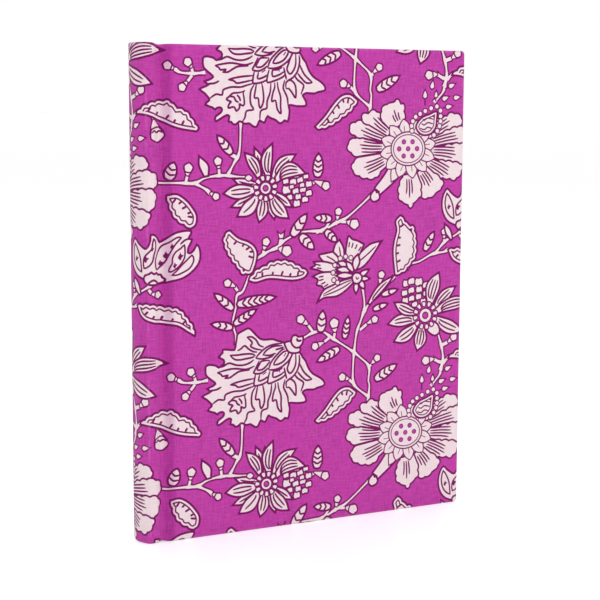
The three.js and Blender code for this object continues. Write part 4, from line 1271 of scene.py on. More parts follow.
@dataclass
class CaseCloth:
    """The printed cotton that covers the case, as two halves that meet at the middle of the spine."""

    form: ClothForm = field(default_factory=ClothForm)
    phases: tuple[float, ...] = (0.0, 0.11, 0.22, 1 / 3, 2 / 3, 0.78, 0.89, 1.0)
    hinge_reach: float = 2.5

    def build(self, side: Side, printed: "BlockPrint") -> bpy.types.Object:
        """Models one half of the cloth, with its print as a colour on its faces.

        Args:
            side: which half.
            printed: one repeat of the print.

        Returns:
            The half as a mesh object.
        """
        form = self.form
        border = form.ring(2.0)
        edge = np.vstack([border, border[:1]])
        creases = [form.ring(phase) for phase in self.phases]
        low, high = border[:, 1].min(), border[:, 1].max()
        creases += [np.array([(s, low), (s, high)]) for s in form.columns()[1:]]
        shapes = printed.repeated(side, form.middle, border.min(axis=0), border.max(axis=0))
        outer = Triangulation.over(border, [edge, *creases], shapes)
        inner = Triangulation.over(border, [*outer.border_runs(), *creases], [])
        return outer.shell(f"case_cloth_{side.word}", inner, form, side)

    def fit(self, half: bpy.types.Object, side: Side, finish: bpy.types.Material) -> None:
        """Args:
            half: the cloth.
            side: which half it is.
            finish: its material.
        """
        half.data.materials.append(finish)
        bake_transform(half)
        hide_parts(f"{side.word}_board_cloth", *(["spine_cloth"] if side is Side.FRONT else []))
        border = self.form.ring(2.0) * MM


@dataclass
class Triangulation:
    """A flat sheet cut into triangles along its print's edges and its creases."""

    points: np.ndarray
    faces: np.ndarray
    inks: np.ndarray

    @classmethod
    def over(cls, border: Outline, lines: list[Outline], shapes: list[Shape]) -> "Triangulation":
        """Cuts the sheet inside a border.

        Args:
            border: the sheet's outline.
            lines: open lines that the cuts follow.
            shapes: closed shapes, each with its ink, back to front.

        Returns:
            The triangles, each with its ink.
        """
        points: list[np.ndarray] = []
        edges: list[tuple[int, int]] = []
        count = 0
        for line in lines:
            points.append(line)
            edges += [(count + k, count + k + 1) for k in range(len(line) - 1)]
            count += len(line)
        for shape, _ in shapes:
            points.append(shape)
            edges += [(count + k, count + (k + 1) % len(shape)) for k in range(len(shape))]
            count += len(shape)
        flat = [Vector((x, y)) for x, y in np.vstack(points)]
        made = shapes2d.delaunay_2d_cdt(flat, edges, [], 0, CUT_MERGE)
        spots, faces = np.array(made[0], float), np.array([f for f in made[2] if len(f) == 3], int)
        middles = spots[faces].mean(axis=1)
        inside = winding(border, middles) != 0
        faces, middles = faces[inside], middles[inside]
        inks = np.zeros(len(faces), int)
        order = np.argsort(middles[:, 0])
        sorted_x = middles[order, 0]
        for shape, ink in shapes:
            low, high = shape.min(axis=0), shape.max(axis=0)
            near = order[np.searchsorted(sorted_x, low[0]): np.searchsorted(sorted_x, high[0])]
            near = near[(middles[near, 1] > low[1]) & (middles[near, 1] < high[1])]
            if len(near):
                inks[near[winding(shape, middles[near]) > 0]] = ink.value
        return cls(spots, faces, inks)

    def border_edges(self) -> np.ndarray:
        """Edges that only one triangle has, in that triangle's direction.

        Returns:
            Pairs of point numbers.
        """
        pairs = np.vstack([self.faces[:, [0, 1]], self.faces[:, [1, 2]], self.faces[:, [2, 0]]])
        keys = {(int(a), int(b)) for a, b in pairs}
        return np.array([(a, b) for a, b in keys if (b, a) not in keys], int)

    def border_runs(self) -> list[Outline]:
        """The sheet's edge as short straight lines."""
        return [self.points[list(pair)] for pair in self.border_edges()]

    def shell(self, name: str, inner: "Triangulation", form: ClothForm, side: Side) -> bpy.types.Object:
        """Lays this sheet in space as the outer face, and closes it with an inner one.

        Args:
            name: the object's name.
            inner: the same sheet without the print.
            form: where the cloth lies.
            side: which half of the case.

        Returns:
            The closed cloth.
        """
        outer_xyz, inner_xyz = form.place(self.points, 0.0), form.place(inner.points, form.book.cloth)
        xyz = np.vstack([outer_xyz, inner_xyz])
        sheet = np.vstack([self.points, inner.points])
        base = len(self.points)
        twin = {tuple(np.round(p, 3)): k + base for k, p in enumerate(inner.points)}
        rim = []
        for a, b in self.border_edges():
            c, d = (twin.get(tuple(np.round(self.points[k], 3))) for k in (a, b))
            if c is not None and d is not None:
                rim.append((b, a, c, d))
            else:
                LOG.warning("%s: no inner point below %s", name, self.points[a])
        faces = [tuple(f) for f in self.faces] + [tuple(f[::-1]) for f in inner.faces + base] + rim
        inks = [*self.inks, *([Ink.GROUND.value] * (len(inner.faces) + len(rim)))]
        if side is Side.BACK:
            xyz = xyz * (1, -1, 1)
            faces = [f[::-1] for f in faces]
            sheet = np.stack([2 * form.middle - sheet[:, 0], sheet[:, 1]], axis=1)
        mesh = bpy.data.meshes.new(name)
        mesh.from_pydata((xyz * MM).tolist(), [], faces)
        sizes = [len(f) for f in faces]
        colours = np.zeros((sum(sizes), 4), np.float32)
        owner = np.repeat(np.asarray(inks), sizes)
        colours[:, 0], colours[:, 1], colours[:, 3] = owner == Ink.CREAM.value, owner == Ink.DARK.value, 1
        mesh.color_attributes.new("ink", "FLOAT_COLOR", "CORNER").data.foreach_set("color", colours.ravel())
        loops = np.empty(len(mesh.loops), int)
        mesh.loops.foreach_get("vertex_index", loops)
        layer = mesh.uv_layers.new(name="cloth")
        layer.data.foreach_set("uv", (sheet[loops] * MM * UV_SCALE).astype(np.float32).ravel())
        obj = bpy.data.objects.new(name, mesh)
        bpy.context.scene.collection.objects.link(obj)
        tidy = bmesh.new()
        tidy.from_mesh(mesh)
        bmesh.ops.dissolve_degenerate(tidy, dist=0.001 * MM, edges=tidy.edges)
        bmesh.ops.delete(tidy, geom=[v for v in tidy.verts if not v.link_faces], context="VERTS")
        tidy.to_mesh(mesh)
        tidy.free()
        smooth(obj, SHARP_CLOTH)
        return obj


def winding(outline: Outline, places: np.ndarray) -> np.ndarray:
    """How many times an outline runs anticlockwise round each place.

    Args:
        outline: a closed line.
        places: points to test.

    Returns:
        The winding number of each.
    """
    a, b = outline, np.roll(outline, -1, axis=0)
    total = np.zeros(len(places), int)
    for start in range(0, len(places), WINDING_BATCH):
        batch = slice(start, start + WINDING_BATCH)
        x, y = places[batch, 0:1], places[batch, 1:2]
        above = (b[:, 0] - a[:, 0]) * (y - a[:, 1]) - (x - a[:, 0]) * (b[:, 1] - a[:, 1])
        up = (a[:, 1] <= y) & (b[:, 1] > y) & (above > 0)
        down = (a[:, 1] > y) & (b[:, 1] <= y) & (above < 0)
        total[batch] = up.sum(axis=1) - down.sum(axis=1)
    return total


def smooth(obj: bpy.types.Object, degrees: float) -> None:
    """Shades an object smooth, with edges above an angle kept sharp.

    Args:
        obj: a mesh object.
        degrees: the angle.
    """
    select_only(obj)
    bpy.ops.object.shade_smooth_by_angle(angle=math.radians(degrees), keep_sharp_edges=False)
    obj.select_set(False)


Socket = bpy.types.NodeSocket
Value = Socket | float | tuple
Colour = tuple[float, float, float, float]


def srgb(red: float, green: float, blue: float) -> Colour:
    """A colour in the renderer's linear values.

    Args:
        red: 0 to 255, as on a screen.
        green: the same.
        blue: the same.

    Returns:
        The colour with an alpha of one.
    """
    def linear(v: float) -> float:
        """One channel."""
        v /= 255
        return v / 12.92 if v <= 0.04045 else ((v + 0.055) / 1.055) ** 2.4

    return (linear(red), linear(green), linear(blue), 1.0)


@dataclass
class Recipe:
    """A node tree under construction, a material's or a shared effect's."""

    tree: bpy.types.NodeTree

    def node(self, kind: str, **settings: object) -> bpy.types.Node:
        """Adds a node.

        Args:
            kind: its type.
            settings: properties to set on it.

        Returns:
            The node.
        """
        made = self.tree.nodes.new(kind)
        for key, value in settings.items():
            setattr(made, key, value)
        return made

    def feed(self, socket: Socket, value: Value) -> None:
        """Links a socket, or sets its number or colour.

        Args:
            socket: the input.
            value: what it gets.
        """
        if isinstance(value, Socket):
            self.tree.links.new(value, socket)
        else:
            socket.default_value = value

    def fill(self, node: bpy.types.Node, **values: Value) -> bpy.types.Node:
        """Feeds several inputs of a node, named with underscores for their spaces.

        Args:
            node: the node.
            values: what each input gets.

        Returns:
            The same node.
        """
        for name, value in values.items():
            self.feed(node.inputs[name.replace("_", " ")], value)
        return node

    def place(self) -> Socket:
        """Places in the object's own space."""
        return self.node("ShaderNodeTexCoord").outputs["Object"]

    def axes(self, place: Value) -> tuple[Socket, Socket, Socket]:
        """X, Y and Z of a place."""
        return tuple(self.fill(self.node("ShaderNodeSeparateXYZ"), Vector=place).outputs)

    def math(self, operation: str, *values: Value) -> Socket:
        """One sum.

        Args:
            operation: which kind.
            values: up to three terms.

        Returns:
            Its result.
        """
        made = self.node("ShaderNodeMath", operation=operation)
        for socket, value in zip(made.inputs, values):
            self.feed(socket, value)
        return made.outputs[0]

    def times(self, a: Value, b: Value) -> Socket:
        """The product of two values."""
        return self.math("MULTIPLY", a, b)

    def step(self, value: Value, low: Value, high: Value, start: Value = 0.0, end: Value = 1.0) -> Socket:
        """A smooth rise.

        Args:
            value: what is measured.
            low: where the rise begins.
            high: where it ends.
            start: the result up to low.
            end: the result from high.

        Returns:
            The result.
        """
        made = self.node("ShaderNodeMapRange", interpolation_type="SMOOTHSTEP")
        self.fill(made, Value=value, From_Min=low, From_Max=high, To_Min=start, To_Max=end)
        return made.outputs["Result"]

    def mix(self, share: Value, a: Value, b: Value, blend: str = "MIX") -> Socket:
        """Two colours mixed.

        Args:
            share: how much of the second.
            a: the first.
            b: the second.
            blend: how they mix.

        Returns:
            The colour.
        """
        made = self.node("ShaderNodeMix", data_type="RGBA", blend_type=blend)
        return self.fill(made, Factor=share, A=a, B=b).outputs["Result"]

    def noise(self, place: Value, scale: Value, detail: float = 2.0, roughness: float = 0.5,
              distortion: float = 0.0) -> bpy.types.Node:
        """Soft noise.

        Args:
            place: where it is looked up.
            scale: how often it changes in a metre.
            detail: finer layers added.
            roughness: how strong those are.
            distortion: how much it is swirled.

        Returns:
            The node, whose outputs are Fac from 0 to 1 and Color.
        """
        made = self.node("ShaderNodeTexNoise")
        return self.fill(made, Vector=place, Scale=scale, Detail=detail, Roughness=roughness,
                         Distortion=distortion)

    def grain(self, place: Value, scale: Value, *shape: float) -> Socket:
        """The value of a soft noise, with its detail, roughness and distortion."""
        return self.noise(place, scale, *shape).outputs["Fac"]

    def stretched(self, place: Value, scale: tuple[float, float, float]) -> Socket:
        """Places scaled by a different amount along each axis."""
        return self.fill(self.node("ShaderNodeMapping"), Vector=place, Scale=scale).outputs["Vector"]

    def shared(self, group: bpy.types.NodeTree, **inputs: Value) -> bpy.types.Node:
        """Uses a shared effect, whose inputs are fed by name."""
        return self.fill(self.node("ShaderNodeGroup", node_tree=group), **inputs)


Effect = tuple[Recipe, list[Socket], bpy.types.Node]


@dataclass(frozen=True)
class Paper:
    """A paper stock: its colour, its toned edge colour and how much its surface shows."""

    colour: Colour
    toned: Colour
    grain: float


@dataclass(frozen=True)
class Fibre:
    """A pulp board: two colours and the size of its fibres."""

    colour: Colour
    flecks: Colour
    scale: float


@dataclass(frozen=True)
class Woven:
    """A plain woven stuff: its colour, threads per millimetre and how open it is."""

    colour: Colour
    threads: float
    open_share: float


@dataclass(frozen=True)
class Dye:
    """The case cloth's colours: each is a darker and a lighter one that the mottle runs between."""

    ground: tuple[Colour, Colour] = (srgb(180, 54, 155), srgb(214, 80, 186))
    cream: tuple[Colour, Colour] = (srgb(250, 227, 232), srgb(254, 239, 242))
    dark: tuple[Colour, Colour] = (srgb(112, 6, 88), srgb(140, 16, 110))
    clouds: Colour = srgb(208, 62, 175)
    # Painted shade for the gaps between threads.
    gaps: Colour = srgb(130, 30, 108)
    # Painted shade for the joint groove, multiplied into the cloth there.
    joint: Colour = srgb(228, 206, 226)
    rubbed: Colour = srgb(232, 170, 214)


@dataclass
class FinishShop:
    """Makes the materials, with shared effects for weave, mottle, fibres and wear."""

    book: BookSizes = BOOK
    dye: Dye = Dye()
    cloth_threads: float = 520.0
    thread_relief: float = 0.00006
    # Reach, softness and offset of the painted shade along the joint groove.
    groove_shade_reach: float = 3.4
    groove_shade_soft: float = 0.4
    groove_shade_off: float = 0.3
    rub_reach: float = 1.4
    toned_edge: float = 4.0
    effects: dict[str, bpy.types.NodeTree] = field(default_factory=dict)

    def __post_init__(self) -> None:
        """Makes the shared effects."""
        for make in (self.weave, self.mottle, self.fibres, self.wear):
            self.effects[make.__name__] = make()

    def group(self, name: str, takes: dict[str, str], gives: tuple[str, ...]) -> Effect:
        """An empty shared effect with its sockets.

        Args:
            name: the group's name.
            takes: inputs and their socket types.
            gives: outputs, each a number.

        Returns:
            The group's recipe, what its inputs give, and its output node.
        """
        tree = bpy.data.node_groups.new(name, "ShaderNodeTree")
        for label, kind in takes.items():
            tree.interface.new_socket(label, in_out="INPUT", socket_type=f"NodeSocket{kind}")
        for label in gives:
            tree.interface.new_socket(label, in_out="OUTPUT", socket_type="NodeSocketFloat")
        r = Recipe(tree)
        given = r.node("NodeGroupInput").outputs
        return r, [given[label] for label in takes], r.node("NodeGroupOutput")

    def weave(self) -> bpy.types.NodeTree:
        """Plain weave: threads over and under each other, with slubs.

        Returns:
            The effect.
        """
        takes = {"Place": "Vector", "Threads": "Float"}
        r, (place, threads), end = self.group("plain_weave", takes, ("Height", "Gap"))
        bent = r.node("ShaderNodeVectorMath", operation="MULTIPLY_ADD")
        wander = r.noise(place, 60.0).outputs["Color"]
        for socket, value in zip(bent.inputs, (wander, (0.0012, 0.0012, 0), place)):
            r.feed(socket, value)
        turn = r.times(threads, math.pi)
        warp, weft = (r.math("SINE", r.times(axis, turn)) for axis in r.axes(bent.outputs[0])[:2])
        over = r.math("MULTIPLY_ADD", r.times(r.math("SIGN", warp), r.math("SIGN", weft)), 0.5, 0.5)
        warp, weft = r.math("ABSOLUTE", warp), r.math("ABSOLUTE", weft)
        height = r.node("ShaderNodeMix", data_type="FLOAT")
        r.fill(height, Factor=over, A=r.times(warp, r.math("POWER", weft, 0.45)),
               B=r.times(weft, r.math("POWER", warp, 0.45)))
        slub = r.grain(place, 420.0)
        r.fill(end, Height=r.times(height.outputs["Result"], r.math("ADD", slub, 0.5)),
               Gap=r.step(r.times(warp, weft), 0.02, 0.3, 1.0, 0.0))
        return r.tree

    def mottle(self) -> bpy.types.NodeTree:
        """Uneven dye: broad clouds, a fine grain and thread-wise streaks.

        Returns:
            The effect.
        """
        takes = {"Place": "Vector", "Grain": "Float"}
        r, (place, grain), end = self.group("dye_mottle", takes, ("Broad", "Fine"))
        fine = r.grain(place, grain, 3.0, 0.62)
        across, along = (r.grain(r.stretched(place, scale), 48.0, 3.0, 0.6)
                         for scale in ((1.0, 8.0, 1.0), (8.0, 1.0, 1.0)))
        streak = r.times(r.math("ADD", across, along), 0.5)
        both = r.math("MULTIPLY_ADD", fine, 0.35, r.times(streak, 0.65))
        r.fill(end, Broad=r.step(r.grain(place, 9.0, 3.0, 0.6), 0.32, 0.68), Fine=r.step(both, 0.38, 0.62))
        return r.tree

    def fibres(self) -> bpy.types.NodeTree:
        """Short pulp fibres in two directions, with a few flecks.

        Returns:
            The effect.
        """
        takes = {"Place": "Vector", "Scale": "Float"}
        r, (place, size), end = self.group("pulp_fibres", takes, ("Tone", "Fleck", "Height"))
        runs = [r.grain(r.stretched(place, scale), size, 3.0, 0.5, 0.6)
                for scale in ((1.0, 0.3, 3.2), (0.3, 3.0, 1.0))]
        tone = r.times(r.math("ADD", *runs), 0.5)
        r.fill(end, Tone=r.step(tone, 0.36, 0.64), Height=tone, Fleck=r.step(r.times(*runs), 0.36, 0.46))
        return r.tree

    def wear(self) -> bpy.types.NodeTree:
        """Rubbing along the head, the tail, the fore-edge and the spine's corners.

        Returns:
            The effect.
        """
        takes = {"Place": "Vector", "Reach": "Float"}
        r, (place, reach), end = self.group("edge_rubbing", takes, ("Rubbed",))
        b = self.book
        x, _, z = r.axes(place)
        low, high, fore = (r.step(away, 0.0, reach, 1.0, 0.0) for away in (
            z, r.math("SUBTRACT", b.case_height * MM, z), r.math("SUBTRACT", b.fore_x * MM, x)))
        beside = r.math("ABSOLUTE", r.math("SUBTRACT", x, (b.corner_x + 0.2) * MM))
        corner = r.step(beside, 0.0, r.times(reach, 0.6), 0.7, 0.0)
        most = r.math("MAXIMUM", r.math("MAXIMUM", low, high), r.math("MAXIMUM", fore, corner))
        r.fill(end, Rubbed=r.times(most, r.step(r.grain(place, 180.0, 4.0, 0.7), 0.38, 0.62)))
        return r.tree

    def blank(self, name: str) -> tuple[bpy.types.Material, Recipe, bpy.types.Node]:
        """A new material with only a shader in it.

        Args:
            name: the material's name.

        Returns:
            The material, its recipe and its shader.
        """
        material = bpy.data.materials.new(name)
        material.use_nodes = True
        recipe = Recipe(material.node_tree)
        recipe.tree.nodes.clear()
        out, shader = recipe.node("ShaderNodeOutputMaterial"), recipe.node("ShaderNodeBsdfPrincipled")
        recipe.fill(out, Surface=shader.outputs["BSDF"])
        return material, recipe, shader

    def raised(self, r: Recipe, height: Value, depth: float, strength: float = 1.0) -> Socket:
        """Relief for a shader.

        Args:
            r: the material's recipe.
            height: 0 to 1.
            depth: the relief's depth in metres.
            strength: how much of it shows.

        Returns:
            The normal.
        """
        made = r.fill(r.node("ShaderNodeBump"), Distance=depth, Strength=strength, Height=height)
        return made.outputs["Normal"]

    def printed_cotton(self) -> bpy.types.Material:
        """The dyed and printed case cloth, its inks on the faces and its weave along the sheet.

        Returns:
            The material.
        """
        material, r, shader = self.blank("book_cloth")
        dye = self.dye
        place = r.place()
        sheet = r.node("ShaderNodeUVMap", uv_map="cloth").outputs["UV"]
        inks = r.node("ShaderNodeAttribute", attribute_name="ink").outputs["Color"]
        ink = r.fill(r.node("ShaderNodeSeparateColor"), Color=inks)
        mottle = r.shared(self.effects["mottle"], Place=sheet, Grain=620.0)
        weave = r.shared(self.effects["weave"], Place=sheet, Threads=self.cloth_threads)
        fine = mottle.outputs["Fine"]
        ground = r.mix(r.times(mottle.outputs["Broad"], 0.4), r.mix(fine, *dye.ground), dye.clouds)
        colour = r.mix(ink.outputs["Red"], ground, r.mix(fine, *dye.cream))
        colour = r.mix(ink.outputs["Green"], colour, r.mix(fine, *dye.dark))
        # Painted shade: the gaps between threads are darkened.
        colour = r.mix(r.times(weave.outputs["Gap"], 0.16), colour, dye.gaps)
        # Painted shade: a darker tint multiplied into the cloth along the groove wall beside the board's
        # edge.
        groove_shade_x = (self.book.board_spine_x + self.groove_shade_off) * MM
        off = r.math("ABSOLUTE", r.math("SUBTRACT", r.axes(place)[0], groove_shade_x))
        shade = r.step(off, self.groove_shade_reach * MM, self.groove_shade_soft * MM)
        colour = r.mix(shade, colour, dye.joint, "MULTIPLY")
        rubbed = r.shared(self.effects["wear"], Place=place, Reach=self.rub_reach * MM).outputs["Rubbed"]
        colour = r.mix(r.times(rubbed, 0.2), colour, dye.rubbed)
        height = r.math("ADD", weave.outputs["Height"], r.times(fine, 0.5))
        r.fill(shader, Base_Color=colour, Roughness=r.step(fine, 0.0, 1.0, 0.84, 0.96),
               Specular_IOR_Level=0.14, Sheen_Weight=0.12, Sheen_Roughness=0.5,
               Normal=self.raised(r, height, self.thread_relief, 0.7))
        return material

    def paper(self, name: str, stock: Paper) -> bpy.types.Material:
        """Book paper, toned at the page edges.

        Args:
            name: the material's name.
            stock: the paper.

        Returns:
            The material.
        """
        material, r, shader = self.blank(name)
        b = self.book
        place = r.place()
        pulp = r.shared(self.effects["fibres"], Place=place, Scale=700.0)
        x, _, z = r.axes(place)
        fore, head, tail = b.fore_x - b.square, b.case_height - b.square, b.square
        edges = [r.step(axis, (at - inward) * MM, at * MM) for axis, at, inward in (
            (x, fore, self.toned_edge), (z, head, self.toned_edge), (z, tail, -self.toned_edge))]
        edge = r.math("MAXIMUM", r.math("MAXIMUM", edges[0], edges[1]), edges[2])
        clouds = r.grain(place, 35.0, 3.0, 0.6)
        toned = r.times(r.math("MULTIPLY_ADD", edge, 0.55, 0.12), r.math("ADD", clouds, 0.35))
        colour = r.mix(toned, stock.colour, stock.toned)
        colour = r.mix(r.times(pulp.outputs["Tone"], 0.10 * stock.grain), colour, srgb(214, 204, 184))
        colour = r.mix(r.times(pulp.outputs["Fleck"], 0.16 * stock.grain), colour, srgb(186, 170, 146))
        normal = self.raised(r, pulp.outputs["Height"], 0.00004, 0.6 * stock.grain)
        r.fill(shader, Base_Color=colour, Roughness=r.step(clouds, 0.2, 0.8, 0.66, 0.8),
               Specular_IOR_Level=0.3, Normal=normal)
        return material

    def fibre(self, name: str, pulp: Fibre) -> bpy.types.Material:
        """Grey or brown board, matt, with fibres and flecks.

        Args:
            name: the material's name.
            pulp: the board.

        Returns:
            The material.
        """
        material, r, shader = self.blank(name)
        place = r.place()
        made = r.shared(self.effects["fibres"], Place=place, Scale=pulp.scale)
        tone = made.outputs["Tone"]
        colour = r.mix(tone, pulp.flecks, pulp.colour)
        colour = r.mix(r.times(r.grain(place, 60.0, 3.0), 0.25), colour, pulp.flecks)
        colour = r.mix(r.times(made.outputs["Fleck"], 0.5), colour, srgb(92, 82, 68))
        r.fill(shader, Base_Color=colour, Roughness=r.step(tone, 0.0, 1.0, 0.82, 0.95),
               Normal=self.raised(r, made.outputs["Height"], 0.0001, 0.8))
        return material

    def woven(self, name: str, stuff: Woven) -> bpy.types.Material:
        """Gauze, tape or thread: plain weave whose gaps look deep.

        Args:
            name: the material's name.
            stuff: the weave.

        Returns:
            The material.
        """
        material, r, shader = self.blank(name)
        place = r.place()
        x, y, z = r.axes(place)
        flat = r.fill(r.node("ShaderNodeCombineXYZ"), X=r.math("ADD", x, y), Y=z).outputs[0]
        weave = r.shared(self.effects["weave"], Place=flat, Threads=stuff.threads / MM)
        dye = r.shared(self.effects["mottle"], Place=place, Grain=900.0)
        shade, pale = ((*(min(1.0, share * v) for v in stuff.colour[:3]), 1.0) for share in (0.38, 1.08))
        colour = r.mix(dye.outputs["Fine"], stuff.colour, pale)
        colour = r.mix(r.times(weave.outputs["Gap"], stuff.open_share), colour, shade)
        r.fill(shader, Base_Color=colour, Roughness=r.step(dye.outputs["Broad"], 0.0, 1.0, 0.78, 0.92),
               Sheen_Weight=0.1, Normal=self.raised(r, weave.outputs["Height"], 0.0001))
        return material

    def band_silk(self, wraps: int, reach: float) -> bpy.types.Material:
        """Two silks wound in turn over the band's core, with painted shade in the creases between turns,
        plain on its tongue.

        Args:
            wraps: turns of silk on the core.
            reach: half of the band's angle round the back, in radians.

        Returns:
            The material.
        """
        material, r, shader = self.blank("band_silk")
        place = r.place()
        x, y, _ = r.axes(place)
        turn = r.math("ARCTAN2", y, r.math("SUBTRACT", self.book.arc_x * MM, x))
        wound = r.math("MULTIPLY_ADD", turn, wraps / (2 * reach), wraps / 2)
        second = r.math("GREATER_THAN", r.math("FRACT", r.times(wound, 0.5)), 0.5)
        worked = r.node("ShaderNodeAttribute", attribute_name="worked").outputs["Fac"]
        fine = r.shared(self.effects["mottle"], Place=place, Grain=1500.0).outputs["Fine"]
        silk = r.mix(second, srgb(176, 38, 142), srgb(247, 238, 236))
        tape = r.mix(fine, srgb(232, 222, 212), srgb(246, 240, 232))
        fold = r.math("ABSOLUTE", r.math("SINE", r.times(wound, math.pi)))
        # Painted shade: the creases between the turns of silk are darkened.
        crease_shade = r.times(r.step(fold, 0.0, 0.35, 0.45, 0.0), worked)
        colour = r.mix(crease_shade, r.mix(worked, tape, silk), srgb(84, 16, 66))
        colour = r.mix(r.times(fine, 0.12), colour, srgb(255, 246, 250))
        r.fill(shader, Base_Color=colour, Roughness=r.step(fine, 0.0, 1.0, 0.38, 0.55), Sheen_Weight=0.15,
               Normal=self.raised(r, r.math("ADD", fold, fine), 0.00005, 0.6))
        return material


def select_only(obj: bpy.types.Object) -> None:
    """Makes one object the only selected and the active one.

    Args:
        obj: the object.
    """
    bpy.ops.object.select_all(action="DESELECT")
    obj.select_set(True)
    bpy.context.view_layer.objects.active = obj


def points_of(obj: bpy.types.Object) -> np.ndarray:
    """The places of an object's points, in millimetres.

    Args:
        obj: a mesh object.

    Returns:
        X, Y and Z of each.
    """
    flat = np.empty(len(obj.data.vertices) * 3)
    obj.data.vertices.foreach_get("co", flat)
    return flat.reshape(-1, 3) / MM


def put_points(obj: bpy.types.Object, places: np.ndarray) -> None:
    """Moves an object's points to places given in millimetres."""
    obj.data.vertices.foreach_set("co", (places * MM).ravel())
    obj.data.update()


def laid_sheet(name: str, path: Outline, heights: np.ndarray) -> bpy.types.Object:
    """A sheet of paper that stands upright along a path seen from above, still without thickness.

    Args:
        name: the object's name.
        path: X and Y of the sheet's middle, from one edge to the other.
        heights: height of each row of its points.

    Returns:
        The open sheet.
    """
    spans = len(path) - 1, len(heights) - 1
    bpy.ops.object.select_all(action="DESELECT")
    bpy.ops.mesh.primitive_grid_add(x_subdivisions=spans[0], y_subdivisions=spans[1], size=1)
    sheet = bpy.context.object
    sheet.name = sheet.data.name = name
    share = points_of(sheet)[:, :2] * MM + 0.5
    column, row = np.round(share * spans).astype(int).T
    put_points(sheet, np.column_stack([path[column], np.asarray(heights)[row]]))
    return sheet


def thicken(obj: bpy.types.Object, thickness: float) -> None:
    """Gives an open sheet its thickness, half to each side, with even walls.

    Args:
        obj: the sheet.
        thickness: in millimetres.
    """
    select_only(obj)
    wall = obj.modifiers.new("thickness", "SOLIDIFY")
    wall.thickness, wall.offset, wall.use_even_offset = thickness * MM, 0.0, True
    bpy.ops.object.modifier_apply(modifier=wall.name)


def joined(name: str, pieces: list[bpy.types.Object]) -> bpy.types.Object:
    """Makes one object of several.

    Args:
        name: the new object's name.
        pieces: the objects, of which the first stays.

    Returns:
        The one object.
    """
    bpy.ops.object.select_all(action="DESELECT")
    for piece in pieces:
        piece.select_set(True)
    bpy.context.view_layer.objects.active = pieces[0]
    bpy.ops.object.join()
    pieces[0].name = pieces[0].data.name = name
    return pieces[0]


